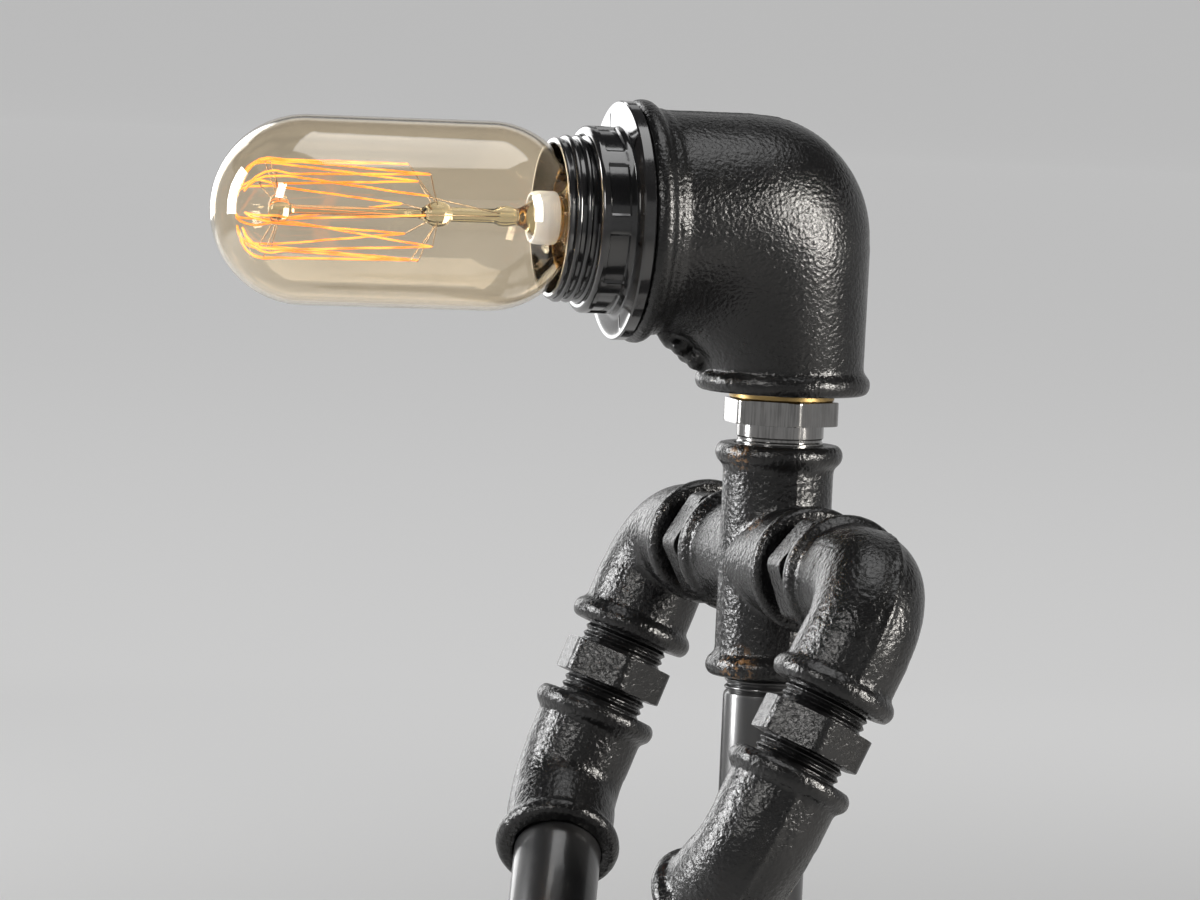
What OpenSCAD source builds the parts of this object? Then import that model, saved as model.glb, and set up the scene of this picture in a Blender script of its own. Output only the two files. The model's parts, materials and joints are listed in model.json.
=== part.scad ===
// Robot shaped desk lamp, put together from half inch malleable iron pipe fittings.
// The robot faces -Y, its left is +X, and z = 0 is the table under its feet.
// Every fitting is drawn about its own centre and then set in place.

/* [Iron fittings] */
// Radius of the rounded bead round every port
bead_r = 15.3; // [14.9:0.1:17]
// Width of a bead along its port
bead_w = 5; // [4:0.25:6.5]
// Radius of a fitting's barrel behind its beads
barrel_r = 13.2; // [12.8:0.1:13.8]
// Radius of the half inch male thread
thread_r = 10.48; // [9.8:0.02:10.6]
// Radius of the steel pipe
pipe_r = 10.65; // [10.6:0.05:11.5]
// Radius of the clear way through fittings and pipes
bore_r = 7.6; // [6.5:0.1:8.2]
// Play between a male end and the socket round it
fit_gap = 0.05; // [0.02:0.01:0.1]
// Depth of a socket behind its face
socket_d = 13.5; // [12:0.25:13.75]
// Centre to face of the crosses and right angle elbows
elbow_a = 28; // [28:0.5:34]
// Centre to face of the 45 degree elbows
bend_a = 22; // [22:0.5:28]
// Radius of the bend inside a right angle elbow
elbow_bend = 14; // [13.6:0.1:14]
// Depth of the grooves cut for a visible thread
groove_d = 0.7; // [0.3:0.1:1.2]
// Pitch of the pipe thread
pitch = 1.81; // [1.4:0.01:2.2]

/* [Hex nipples] */
// Width across the flats of a nipple's hexagon
hex_af = 25; // [23.5:0.25:27]
// Length of the hexagon on the black nipples
hex_l = 8.3; // [6:0.1:10]
// Gap that a shoulder or hip nipple leaves between its two fittings
shoulder_gap = 17.7; // [15:0.1:24]
// Gap that an arm or thigh nipple leaves between its two fittings
arm_gap = 18.3; // [15:0.1:24]
// Gap that the waist nipple leaves between valve and hip cross
waist_gap = 17.7; // [15:0.1:24]
// Turn of a shoulder hexagon about its axis
hex_turn = 20; // [0:1:60]

/* [Pose] */
// Forward swing of the left arm from hanging straight down
left_swing = 25.4; // [20:0.1:60]
// Forward swing of the right arm from hanging straight down
right_swing = 21.5; // [20:0.1:60]
// Turn of the left forearm forward from pointing inward
left_twist = -6; // [-8:0.5:20]
// Turn of the right forearm forward from pointing inward
right_twist = 3; // [-8:0.5:20]
// Turn of the head to the robot's left
head_yaw = -4.8; // [-30:0.1:30]

/* [Head] */
// Height of the lamp holder's axis above the chest cross
head_rise = 79.9; // [79:0.1:90]
// Gap between the chest cross and the head elbow
neck_gap = 12.2; // [10:0.1:16]
// Radius of the head elbow round its mouth
mouth_r = 26.3; // [25.5:0.1:28]
// Radius of the bead round the mouth
mouth_bead_r = 29; // [28.6:0.1:31]
// Distance of the mouth's face from the neck axis
mouth_face = 40; // [38:0.25:44]
// Radius of the socket in the mouth
mouth_socket_r = 23; // [22:0.1:24]
// Radius of the head elbow above its neck bead
neck_r = 19.2; // [18.8:0.1:20.5]
// Radius of the head elbow's neck bead
neck_bead_r = 21; // [20.4:0.1:23]
// Radius of the round back of the head
crown_r = 28.5; // [26:0.5:30]
// Radius of the neck port inside the head
neck_port_r = 15; // [14:0.1:16.5]
// Radius of the brass bush that shows under the head
bush_r = 12.6; // [12.4:0.1:13.4]
// Length of the polished hexagon on the neck
neck_hex_l = 5.7; // [4:0.1:7]

/* [Lamp holder] */
// Radius of the threaded skirt over its thread
skirt_r = 19.9; // [19.4:0.1:20.4]
// Radius of the opening in the skirt
skirt_bore_r = 17.7; // [17.2:0.1:18]
// Distance of the skirt's rim from the neck axis
skirt_rim = 58.9; // [57:0.1:62]
// Pitch of the thread on the skirt
skirt_pitch = 2.2; // [1.8:0.1:3]
// Radius of the shade ring's flange
flange_r = 28.4; // [27.5:0.1:30]
// Thickness of the shade ring's flange
flange_t = 3; // [2:0.1:4]
// Radius of the shade ring's grip collar
collar_r = 22.25; // [21.9:0.05:23.4]
// Length of the grip collar
collar_l = 8.7; // [6:0.1:10]
// Slots in the flange
flange_slots = 6; // [3:1:10]
// Grip panels round the collar
grip_panels = 8; // [5:1:10]

/* [Bulb] */
// Radius of the tubular glass
glass_r = 22.5; // [21:0.1:25]
// Wall of the glass
glass_t = 0.9; // [0.6:0.05:1.5]
// Distance of the bulb's end contact from the neck axis
bulb_end = 30.75; // [30:0.25:32]
// Overall length of the bulb with its cap
bulb_l = 110; // [100:0.5:125]
// Radius of the brass screw cap
cap_r = 13.1; // [12.8:0.05:13.3]
// Radius of the filament cage
cage_r = 11.6; // [8:0.1:14]
// Radius of the filament wire
wire_r = 0.35; // [0.2:0.05:0.6]
// Loops of filament round the cage
loops = 9; // [5:1:12]

/* [Spine and tap] */
// Gap between chest cross and valve that the spine pipe fills
spine_gap = 57; // [50:0.5:70]
// Overall length of the stop valve's body
valve_l = 50; // [48:0.5:60]
// Distance of the bonnet's seat from the spine
bonnet_seat = 21; // [20:0.25:26]
// Radius of the rotary switch inside the valve
switch_r = 9; // [8:0.1:10]
// Radius of the tap's spindle
spindle_r = 3; // [2.5:0.05:3.5]
// Distance of the handwheel's middle from the spine
wheel_reach = 44; // [42:0.5:52]
// Radius of the handwheel's rim at its centre line
wheel_r = 19; // [16:0.5:20]
// Radius of the rim's own section
rim_r = 3; // [2:0.1:4]
// Spokes of the handwheel
spokes = 5; // [3:1:7]

/* [Legs] */
// Length of the knee sockets
knee_l = 34; // [30:0.5:44]
// Length of shin pipe that shows
shin_gap = 25; // [15:0.5:40]
// Radius of the round foot flanges
foot_r = 38; // [34:0.5:44]
// Thickness of the foot's plate
foot_t = 5; // [4:0.25:7]
// Height of the foot flange with its hub
foot_h = 19; // [18.5:0.25:26]
// Radius of the circle that the screw holes lie on
screw_circle = 27; // [25:0.5:29]
// Radius of a screw hole
screw_r = 2.6; // [2:0.1:3]
// Screw holes in each foot
foot_screws = 4; // [3:1:6]

/* [Forearms] */
// Length of forearm pipe that shows
forearm_gap = 30; // [22:0.5:32]
// Length of the beaded cap that makes the fist
fist_l = 20; // [18:0.5:21]

/* [Wiring] */
// Radius of one insulated conductor
core_r = 1.2; // [0.8:0.05:1.5]
// Distance of a conductor from the middle of the pipe
core_x = 2.4; // [2:0.1:3.2]
// Radius of the cable hole in the gland
cable_r = 3.5; // [3:0.1:3.7]

/* [Hidden] */
$fn = 64;

socket_r = thread_r + fit_gap;
eps = 0.01;
lap = 0.5;
waist_r = barrel_r - 0.2;
way_r = bore_r - 0.2;
engage = socket_d - 0.5;

// Heights of the stack, from the table up
foot_top = foot_h;
shin_top = foot_top + shin_gap;
knee_top = shin_top + knee_l;
hip_z = knee_top + arm_gap + elbow_a;
valve_low = hip_z + elbow_a + waist_gap;
valve_z = valve_low + valve_l / 2;
valve_top = valve_low + valve_l;
chest_z = valve_top + spine_gap + elbow_a;
head_z = chest_z + head_rise;
head_low = chest_z + elbow_a + neck_gap;
neck_side = (neck_gap - neck_hex_l) / 2;

// Sideways places of shoulders, hips and feet
side_x = elbow_a * 2 + shoulder_gap;

// Bend of the 45 degree elbow
bend_straight = 14;
bend_start = bend_a - bend_straight;
bend_r = bend_start / tan(22.5);
bend_reach = elbow_a + arm_gap + bend_a;

// Ring and holder, as distances from the neck axis
flange_back = mouth_face + fit_gap;
flange_front = flange_back + flange_t;
collar_front = flange_front + collar_l;
slot_middle_r = 24.4;
slot_l = 3;
slot_w = 0.8;
slot_turn = 110;
panel_w = 11;
panel_d = 0.6;
panel_rim = 1.8;
holder_back = 20;
holder_floor = 27.5;
shoulder_r = mouth_socket_r - fit_gap;
holder_seat = 33;
socket_floor = 24;
button_r = 2.5;
tongue_w = 6;
tongue_l = 10;
tongue_low = holder_floor + 1.5;
terminal_r = 8;
mouth_way_r = 18;
holder_rear_r = mouth_way_r - 0.5;
shell_t = 0.8;
shell_in_r = cap_r + fit_gap;
shell_out_r = shell_in_r + shell_t;
shell_front = holder_floor + 20;

// Bulb, as distances from the neck axis
bulb_tip = bulb_end + bulb_l;
dome_w = bulb_tip - glass_r;
glass_neck_r = cap_r - 0.9;
neck_l = 24.55;
neck_meet = bulb_end + neck_l;
rear_w = neck_meet + sqrt(glass_r * glass_r - glass_neck_r * glass_neck_r);
cap_front = neck_meet - 0.1;
cap_back = bulb_end + 3.8;
glass_low = cap_front - 8;
disc_w = bulb_end + 27;
disc_t = 6;
disc_r = 6.2;
disc_bore_r = 5.3;
stem_r = 2.1;
rod_r = 1.8;
thin_rod_r = 1.2;
hub_ball_r = 3;
hub_disc_r = 3.3;
hub_disc_t = 3.6;
stem_front = disc_w + disc_t + 9.5;
rear_hub = bulb_end + 56;
front_hub = bulb_tip - 16;
cage_front = bulb_tip - 13;
cage_rear = rear_hub + 4.5;
support_r = 0.25;
hook_r = wire_r * 1.35;
hooks = 2 * loops + 1;
contact_r = 4.8;
pin_r = 1.15;

// Head elbow's loft
loft_steps = 16;
loft_sides = 40;
pivot_w = mouth_face - bead_w + 1;
pivot_z = head_low - head_z + bead_w - 1;
crown_w = crown_r - neck_r + 0.2;
crown_z = mouth_r - crown_r - 0.2;

// Valve and tap
hex_end_l = 12;
hex_end_af = 28;
chamber_r = switch_r + fit_gap;
side_port_r = chamber_r + 2.6;
switch_half = 8;
nut_l = 6;
nut_af = 17;
bonnet_hex_l = 7;
bonnet_af = 24;
bonnet_end = bonnet_seat + bonnet_hex_l + nut_l;
hub_r = 6;
hub_l = 8;
wheel_back = wheel_reach - hub_l / 2;
square_l = 1.5;

// Fist
fist_dome_l = 3.1;
fist_dome_r = 30;

// Gland
plug_hex_l = 6;
gland_hex_l = 5;
gland_af = 19;
gland_r = 6.4;
gland_nut_l = 8;
gland_nut_r = 9;
plug_face = hip_z - elbow_a;

// ---- places ----

module at_chest() { translate([0, 0, chest_z]) children(); }

module at_head() { rotate([0, 0, head_yaw]) children(); }

// Local z runs forward out of the mouth, local y is up
module at_mouth() { at_head() translate([0, 0, head_z]) rotate([90, 0, 0]) children(); }

// The right side is the left side mirrored
module on_side(right) { if (right) mirror([1, 0, 0]) children(); else children(); }

module at_arm(right) {
    swing = right ? right_swing : left_swing;
    on_side(right) translate([side_x, 0, chest_z]) rotate([-swing, 0, 0]) children();
}

module at_forearm(right) {
    twist = right ? right_twist : left_twist;
    at_arm(right) translate([0, 0, -bend_reach]) rotate([0, 0, twist]) children();
}

module along_forearm(right) { at_forearm(right) rotate([0, -135, 0]) children(); }

module at_leg(right) { on_side(right) translate([side_x, 0, hip_z]) children(); }

// Local z runs backward out of the valve's side port
module at_tap() { translate([0, 0, valve_z]) rotate([-90, 0, 0]) children(); }

// ---- shared shapes ----

// Rounded bead whose face lies at the top, from z = -w to 0
module bead(r, w) {
    curl = 0.6 * w;
    rotate_extrude()
        translate([0, -w]) {
            square([r - curl, w]);
            intersection() {
                translate([r - curl, w / 2]) circle(r = curl);
                square([r + 1, w]);
            }
        }
}

// Outside of one port, along +z from the fitting's centre to its face
module port(start, face) {
    translate([0, 0, start - lap]) cylinder(r = barrel_r, h = face - start + lap - eps);
    translate([0, 0, face]) bead(bead_r, bead_w);
}

// Socket and clear way of one port, along +z
module port_bore(start, face) {
    translate([0, 0, start - lap]) cylinder(r = bore_r, h = face - start + 1);
    translate([0, 0, face - socket_d]) cylinder(r = socket_r, h = socket_d + 1);
}

// Curved tube in the XZ plane, from heading -z at the top to the given turn toward -x
module curve(r, bend, turn) {
    translate([-bend, 0, 0]) rotate([90, 0, 0]) rotate([0, 0, -turn]) rotate_extrude(angle = turn)
        translate([bend, 0]) circle(r = r);
}

// Elbow with one port toward -x and one toward -z
module elbow_90() {
    difference() {
        union() {
            translate([0, 0, -elbow_bend]) mirror([0, 0, 1]) curve(waist_r, elbow_bend, 90);
            rotate([180, 0, 0]) port(elbow_bend, elbow_a);
            rotate([0, -90, 0]) port(elbow_bend, elbow_a);
        }
        translate([0, 0, -elbow_bend]) mirror([0, 0, 1]) curve(way_r, elbow_bend, 90);
        rotate([180, 0, 0]) port_bore(elbow_bend, elbow_a);
        rotate([0, -90, 0]) port_bore(elbow_bend, elbow_a);
    }
}

// Elbow with one port toward +z and one toward -x and -z
module elbow_45() {
    difference() {
        union() {
            translate([0, 0, bend_start]) curve(waist_r, bend_r, 45);
            port(bend_start, bend_a);
            rotate([0, -135, 0]) port(bend_start, bend_a);
        }
        translate([0, 0, bend_start]) curve(way_r, bend_r, 45);
        port_bore(bend_start, bend_a);
        rotate([0, -135, 0]) port_bore(bend_start, bend_a);
    }
}

// Cross with ports toward +x, -x, +z and -z
module cross() {
    difference() {
        union() {
            for (turn = [0, 180]) rotate([turn, 0, 0]) port(0, elbow_a);
            for (turn = [-90, 90]) rotate([0, turn, 0]) port(0, elbow_a);
        }
        for (turn = [0, 180]) rotate([turn, 0, 0]) port_bore(-1, elbow_a);
        for (turn = [-90, 90]) rotate([0, turn, 0]) port_bore(-1, elbow_a);
    }
}

module hexagon(af, l) { cylinder(r = af / sqrt(3), h = l, $fn = 6); }

// Hexagon whose corners are turned off at both ends
module turned_hex(af, l) {
    corner = af / sqrt(3);
    intersection() {
        hexagon(af, l);
        rotate_extrude() polygon([[0, 0], [corner - 1, 0], [corner + 0.1, 1.1], [corner + 0.1, l - 1.1],
            [corner - 1, l], [0, l]]);
    }
}

// Grooves of a thread that starts at z = 0 and runs up
module thread_grooves(r, count, p) {
    for (i = [0:count - 1])
        rotate_extrude()
            translate([r, (i + 0.5) * p])
                polygon([[-groove_d, 0], [0.5, -p * 0.42], [0.5, p * 0.42]]);
}

// Double nipple whose middle lies at z = 0
module nipple(gap, af, l) {
    half = gap / 2 + engage;
    shown = floor((gap - l) / 2 / pitch);
    difference() {
        union() {
            translate([0, 0, -half]) cylinder(r = thread_r, h = 2 * half);
            translate([0, 0, -l / 2]) turned_hex(af, l);
        }
        translate([0, 0, -half - 1]) cylinder(r = bore_r, h = 2 * half + 2);
        for (turn = [0, 180]) rotate([turn, 0, 0])
            translate([0, 0, l / 2]) thread_grooves(thread_r, shown, pitch);
    }
}

// Pipe that shows over the given gap, with male ends below and above
module pipe(gap, grooves) {
    lip = grooves * pitch;
    difference() {
        union() {
            translate([0, 0, -engage]) cylinder(r = thread_r, h = gap + 2 * engage);
            translate([0, 0, fit_gap]) cylinder(r = pipe_r, h = gap - lip - fit_gap - eps);
        }
        translate([0, 0, -engage - 1]) cylinder(r = bore_r, h = gap + 2 * engage + 2);
        if (grooves > 0) translate([0, 0, gap - lip]) thread_grooves(thread_r, grooves, pitch);
    }
}

// ---- head ----

// Distance from the loft's pivot to the head's outline, at an angle from straight up
function crown_hit(a) =
    let (dw = -sin(a), dz = cos(a), ow = pivot_w - crown_w, oz = pivot_z - crown_z,
         b = ow * dw + oz * dz, c = ow * ow + oz * oz - crown_r * crown_r)
    -b + sqrt(b * b - c);
function top_hit(a) = (mouth_r - pivot_z) / max(cos(a), 0.001);
function back_hit(a) = (pivot_w + neck_r) / max(sin(a), 0.001);
function outer_hit(a) =
    let (t = top_hit(a), k = back_hit(a))
    pivot_w - t * sin(a) > crown_w ? t : pivot_z + k * cos(a) < crown_z ? k : crown_hit(a);
mouth_gap = -mouth_r - pivot_z;
neck_start = pivot_w - neck_r;
function inner_hit(a) = mouth_gap + (neck_start - mouth_gap) * (1 - cos(a)) * 0.35 +
    (neck_start - mouth_gap) * 0.65 * a / 90;
function section(a) =
    let (far = outer_hit(a), near = inner_hit(a), mid = (far + near) / 2, half = (far - near) / 2,
         wide = mouth_r + (neck_r - mouth_r) * (1 - cos(a)))
    [for (i = [0:loft_sides - 1])
        let (t = i * 360 / loft_sides, d = mid + half * cos(t))
        [wide * sin(t), pivot_z + d * cos(a), pivot_w - d * sin(a)]];

// Body of the head between its two beads, swept round the pivot from mouth to neck
module head_loft() {
    rings = [for (k = [0:loft_steps]) section(90 * k / loft_steps)];
    points = [for (ring = rings) for (p = ring) p];
    n = loft_sides;
    walls = [for (k = [0:loft_steps - 1]) for (i = [0:n - 1])
        let (a = k * n + i, b = k * n + (i + 1) % n) each [[a, b + n, b], [a, a + n, b + n]]];
    first = [for (i = [0:n - 1]) i];
    last = [for (i = [0:n - 1]) loft_steps * n + n - 1 - i];
    polyhedron(points = points, faces = concat([first], walls, [last]));
}

module head_elbow() {
    color("#26262a") difference() {
        union() {
            at_mouth() head_loft();
            at_mouth() translate([0, 0, mouth_face]) bead(mouth_bead_r, bead_w);
            at_head() translate([0, 0, head_low]) mirror([0, 0, 1]) bead(neck_bead_r, bead_w);
        }
        at_mouth() translate([0, 0, socket_floor]) cylinder(r = mouth_socket_r, h = mouth_face);
        at_mouth() cylinder(r = mouth_way_r, h = mouth_face);
        translate([0, 0, head_low - 1]) cylinder(r = neck_port_r, h = head_rise - elbow_a - neck_gap + 1);
    }
}

module neck_bush() {
    color("#b08a45") difference() {
        union() {
            translate([0, 0, head_low - neck_side]) cylinder(r = bush_r, h = neck_side + 1);
            translate([0, 0, head_low + fit_gap]) cylinder(r = neck_port_r - fit_gap, h = engage + 2);
        }
        translate([0, 0, head_low - neck_side - 1]) cylinder(r = socket_r, h = engage + neck_side + 4);
    }
}

module lamp_holder() {
    crests = floor((skirt_rim - collar_front) / skirt_pitch);
    color("#0e0e10") at_mouth() difference() {
        union() {
            translate([0, 0, holder_back]) cylinder(r = holder_rear_r, h = holder_seat - holder_back + 1);
            translate([0, 0, holder_seat]) cylinder(r = shoulder_r, h = mouth_face - holder_seat);
            translate([0, 0, mouth_face - 1]) cylinder(r = skirt_r, h = skirt_rim - mouth_face + 1);
        }
        translate([0, 0, holder_floor]) cylinder(r = shell_out_r + fit_gap, h = skirt_rim);
        translate([0, 0, shell_front]) cylinder(r = skirt_bore_r, h = skirt_rim);
        translate([0, 0, skirt_rim - crests * skirt_pitch])
            thread_grooves(skirt_r, crests, skirt_pitch);
        for (x = [-core_x, core_x])
            translate([x, 0, holder_back - 1]) cylinder(r = core_r + fit_gap, h = 4);
    }
}

module shade_ring() {
    bore = skirt_r + fit_gap;
    color("#0e0e10") at_mouth() difference() {
        union() {
            translate([0, 0, flange_back]) cylinder(r = flange_r, h = flange_t);
            rotate_extrude() {
                translate([0, flange_front - 1]) square([collar_r, collar_l]);
                translate([0, flange_front]) square([collar_r - 1, collar_l]);
                translate([collar_r - 1, collar_front - 1]) circle(r = 0.99);
            }
        }
        translate([0, 0, flange_back - 1]) cylinder(r = bore, h = collar_front);
        for (i = [0:flange_slots - 1])
            rotate([0, 0, slot_turn + i * 360 / flange_slots])
                translate([slot_middle_r - slot_l / 2, -slot_w / 2, flange_back - 1])
                    cube([slot_l, slot_w, flange_t + 2]);
        for (i = [0:grip_panels - 1])
            rotate([0, 0, i * 360 / grip_panels])
                translate([collar_r - panel_d, -panel_w / 2, flange_front + panel_rim])
                    cube([2, panel_w, collar_l - 2 * panel_rim]);
    }
}

module holder_shell() {
    color("#b98c46") at_mouth() difference() {
        translate([0, 0, holder_floor + fit_gap]) cylinder(r = shell_out_r, h = shell_front - holder_floor);
        translate([0, 0, holder_floor + 1]) cylinder(r = shell_in_r, h = bulb_l);
        translate([0, 0, holder_floor - 1]) cylinder(r = terminal_r, h = 4);
    }
}

module holder_contact() {
    color("#c9a45a") at_mouth() {
        translate([0, 0, holder_floor]) cylinder(r = button_r, h = 1.8);
        translate([-tongue_w / 2, -tongue_l / 2, tongue_low])
            cube([tongue_w, tongue_l, bulb_end - tongue_low - fit_gap]);
    }
}

module head_wires() {
    turn_r = 8;
    color("#3a2a22") at_head() for (x = [-core_x, core_x]) {
        translate([x, 0, head_low + 3]) cylinder(r = core_r, h = head_rise - elbow_a - neck_gap - 3 - turn_r);
        translate([x, 0, head_z - turn_r]) rotate([0, 0, 90]) mirror([0, 0, 1])
            curve(core_r, turn_r, 90);
        translate([x, 0, head_z]) rotate([90, 0, 0])
            translate([0, 0, turn_r]) cylinder(r = core_r, h = holder_back + 2.9 - turn_r);
    }
}

// ---- bulb ----

module bulb_glass() {
    inner_r = glass_r - glass_t;
    neck_in = glass_neck_r - glass_t;
    color("#c98a3a", 0.35) at_mouth() rotate_extrude() difference() {
        union() {
            translate([0, glass_low]) square([glass_neck_r, rear_w - glass_low]);
            translate([0, rear_w]) square([glass_r, dome_w - rear_w]);
            for (w = [rear_w, dome_w]) intersection() {
                translate([0, w]) circle(r = glass_r);
                translate([0, w - glass_r]) square([glass_r, 2 * glass_r]);
            }
        }
        translate([-1, glass_low - 1]) square([neck_in + 1, rear_w - glass_low + 1]);
        translate([-1, rear_w]) square([inner_r + 1, dome_w - rear_w]);
        for (w = [rear_w, dome_w]) intersection() {
            translate([0, w]) circle(r = inner_r);
            translate([-1, w - glass_r]) square([glass_r, 2 * glass_r]);
        }
    }
}

module bulb_cap() {
    color("#c9a45a") at_mouth() difference() {
        translate([0, 0, cap_back]) cylinder(r = cap_r, h = cap_front - cap_back);
        translate([0, 0, glass_low - 0.3]) cylinder(r = glass_neck_r + fit_gap, h = bulb_l);
        translate([0, 0, cap_back + 1]) cylinder(r = glass_neck_r - 1.2, h = bulb_l);
        translate([0, 0, cap_back - 1]) cylinder(r = terminal_r, h = 3);
    }
}

module bulb_cap_insulator() {
    color("#1b1b22") at_mouth() difference() {
        translate([0, 0, cap_back]) mirror([0, 0, 1]) cylinder(r1 = 11, r2 = 6.2, h = 2.3);
        translate([0, 0, bulb_end - 1]) cylinder(r = pin_r + fit_gap, h = 6);
    }
}

module bulb_contact() {
    color("#c8c8c8") at_mouth() {
        translate([0, 0, bulb_end]) cylinder(r = contact_r, h = 1.45);
        translate([0, 0, bulb_end + 1]) cylinder(r = pin_r, h = 3.5);
    }
}

module glass_stem() {
    color("#b9b98a", 0.6) at_mouth() {
        rotate_extrude() polygon([[0, glass_low + 4], [glass_neck_r - glass_t - 0.1, glass_low + 4],
            [glass_neck_r - glass_t - 0.1, glass_low + 5], [5.2, disc_w - 1.5], [3.6, disc_w + disc_t],
            [stem_r, stem_front - 5.5], [stem_r, stem_front], [1.3, stem_front + 0.5],
            [0, stem_front + 0.5]]);
        translate([0, 0, stem_front]) cylinder(r = rod_r, h = rear_hub - 2 - stem_front);
        translate([0, 0, rear_hub - 2.4]) cylinder(r = thin_rod_r, h = front_hub - rear_hub + 2);
        rotate_extrude() intersection() {
            translate([0, rear_hub]) circle(r = hub_ball_r);
            translate([0, rear_hub - hub_ball_r]) square(2 * hub_ball_r);
        }
        translate([0, 0, front_hub - hub_disc_t / 2]) cylinder(r = hub_disc_r, h = hub_disc_t);
    }
}

module heat_disc() {
    color("#f2f2ee") at_mouth() difference() {
        translate([0, 0, disc_w]) cylinder(r = disc_r, h = disc_t);
        translate([0, 0, disc_w - 1]) cylinder(r = disc_bore_r, h = disc_t + 2);
    }
}

// Hooks of the cage, rear and front by turns, the first and the last at the rear
function hook(i) =
    let (t = i * 360 / hooks, front = i % 2 == 1)
    [cage_r * cos(t), cage_r * sin(t), front ? cage_front : cage_rear];

// Point at a radius from the axis, in the plane of a hook
function beside(i, r, w) = [r * hook(i)[0] / cage_r, r * hook(i)[1] / cage_r, w];

// Round bar between two points
module bar(p, q, r) {
    d = q - p;
    flat = norm([d[0], d[1]]);
    translate(p) rotate([0, atan2(flat, d[2]), atan2(d[1], d[0])]) cylinder(r = r, h = norm(d), $fn = 16);
}

module filament() {
    color("#ff9a2e") at_mouth() {
        for (i = [0:hooks - 2]) bar(hook(i), hook(i + 1), wire_r);
        for (i = [0:hooks - 1]) translate(hook(i)) sphere(r = hook_r, $fn = 16);
    }
}

// Wire from its root to just short of a hook
module hook_wire(root, i) {
    away = (root - hook(i)) / norm(root - hook(i));
    bar(root, hook(i) + away * (hook_r + fit_gap), support_r);
}

module filament_supports() {
    color("#8b8378") at_mouth() {
        for (i = [1:2:hooks - 2]) hook_wire(beside(i, hub_disc_r + support_r, front_hub), i);
        for (i = [2:2:hooks - 3]) hook_wire(beside(i, hub_ball_r + support_r, rear_hub), i);
        for (i = [0, hooks - 1]) hook_wire(beside(i, stem_r + support_r, stem_front + support_r), i);
    }
}

// ---- torso ----

module chest_cross() { color("#26262a") at_chest() cross(); }

module neck_nipple() {
    low = chest_z + elbow_a;
    color("#c9ccd0") difference() {
        union() {
            translate([0, 0, low - engage]) cylinder(r = thread_r, h = 2 * engage + neck_gap);
            translate([0, 0, low + neck_side]) rotate([0, 0, 26]) turned_hex(hex_af, neck_hex_l - fit_gap);
        }
        translate([0, 0, low - engage - 1]) cylinder(r = bore_r, h = 2 * engage + neck_gap + 2);
    }
}

module shoulder_nipple(right, z, turn) {
    color("#2b2b2f") on_side(right) translate([elbow_a + shoulder_gap / 2, 0, z])
        rotate([0, 90, 0]) rotate([0, 0, turn]) nipple(shoulder_gap, hex_af, hex_l);
}

module left_shoulder_nipple() { shoulder_nipple(false, chest_z, hex_turn); }
module right_shoulder_nipple() { shoulder_nipple(true, chest_z, hex_turn + 8); }

module spine_pipe() { color("#1c1c1f") translate([0, 0, valve_top]) pipe(spine_gap, 2); }

module valve_body() {
    color("#26262a") translate([0, 0, valve_z]) difference() {
        union() {
            translate([0, 0, -valve_l / 2]) turned_hex(hex_end_af, hex_end_l);
            translate([0, 0, valve_l / 2 - hex_end_l]) turned_hex(hex_end_af, hex_end_l);
            translate([0, 0, 1 - valve_l / 2]) cylinder(r = barrel_r, h = valve_l - 2);
            rotate_extrude() intersection() {
                translate([-7.5, 0]) circle(r = 24);
                translate([0, -13]) square([20, 26]);
            }
            rotate([-90, 0, 0]) cylinder(r = side_port_r, h = bonnet_seat);
        }
        translate([0, 0, -valve_l / 2 - 1]) cylinder(r = bore_r, h = valve_l + 2);
        for (turn = [0, 180]) rotate([turn, 0, 0])
            translate([0, 0, valve_l / 2 - socket_d]) cylinder(r = socket_r, h = socket_d + 1);
        rotate([-90, 0, 0]) translate([0, 0, -switch_half]) cylinder(r = chamber_r, h = bonnet_seat + 20);
    }
}

module valve_bonnet() {
    color("#26262a") at_tap() difference() {
        union() {
            translate([0, 0, switch_half + fit_gap])
                cylinder(r = switch_r, h = bonnet_seat - switch_half);
            translate([0, 0, bonnet_seat + fit_gap]) turned_hex(bonnet_af, bonnet_hex_l);
            translate([0, 0, bonnet_seat + bonnet_hex_l]) turned_hex(nut_af, nut_l);
        }
        cylinder(r = spindle_r + fit_gap, h = bonnet_end + 2);
    }
}

module rotary_switch() {
    color("#4a3327") at_tap() difference() {
        translate([0, 0, fit_gap - switch_half]) cylinder(r = switch_r, h = 2 * switch_half - fit_gap);
        cylinder(r = spindle_r + fit_gap, h = switch_half + 2);
    }
}

// The spindle's flats fit the switch's rotor, and its outer end the hub
module tap_spindle() {
    color("#b9a06a") at_tap() {
        translate([0, 0, 0.5]) cylinder(r = spindle_r, h = wheel_back + 1.5);
        translate([0, 0, wheel_back]) cylinder(r = spindle_r - 0.5, h = hub_l - square_l);
    }
}

module tap_handwheel() {
    color("#26262a") at_tap() difference() {
        union() {
            translate([0, 0, wheel_back]) cylinder(r = hub_r, h = hub_l);
            translate([0, 0, wheel_reach]) rotate_extrude() translate([wheel_r, 0]) circle(r = rim_r);
            for (i = [0:spokes - 1]) rotate([0, 0, i * 360 / spokes])
                translate([0, 0, wheel_reach]) rotate([0, 90, 0])
                    translate([0, 0, hub_r - 2]) cylinder(r = 2, h = wheel_r - hub_r + 2);
        }
        translate([0, 0, wheel_back - 1]) cylinder(r = spindle_r + fit_gap, h = hub_l + 2);
    }
}

module tap_screw() {
    tip = wheel_back + hub_l;
    color("#b9bcc0") at_tap() difference() {
        translate([0, 0, tip - square_l + fit_gap]) cylinder(r = spindle_r, h = square_l + 2);
        translate([-0.4, -4, tip + 1]) cube([0.8, 8, 4]);
    }
}

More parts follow.
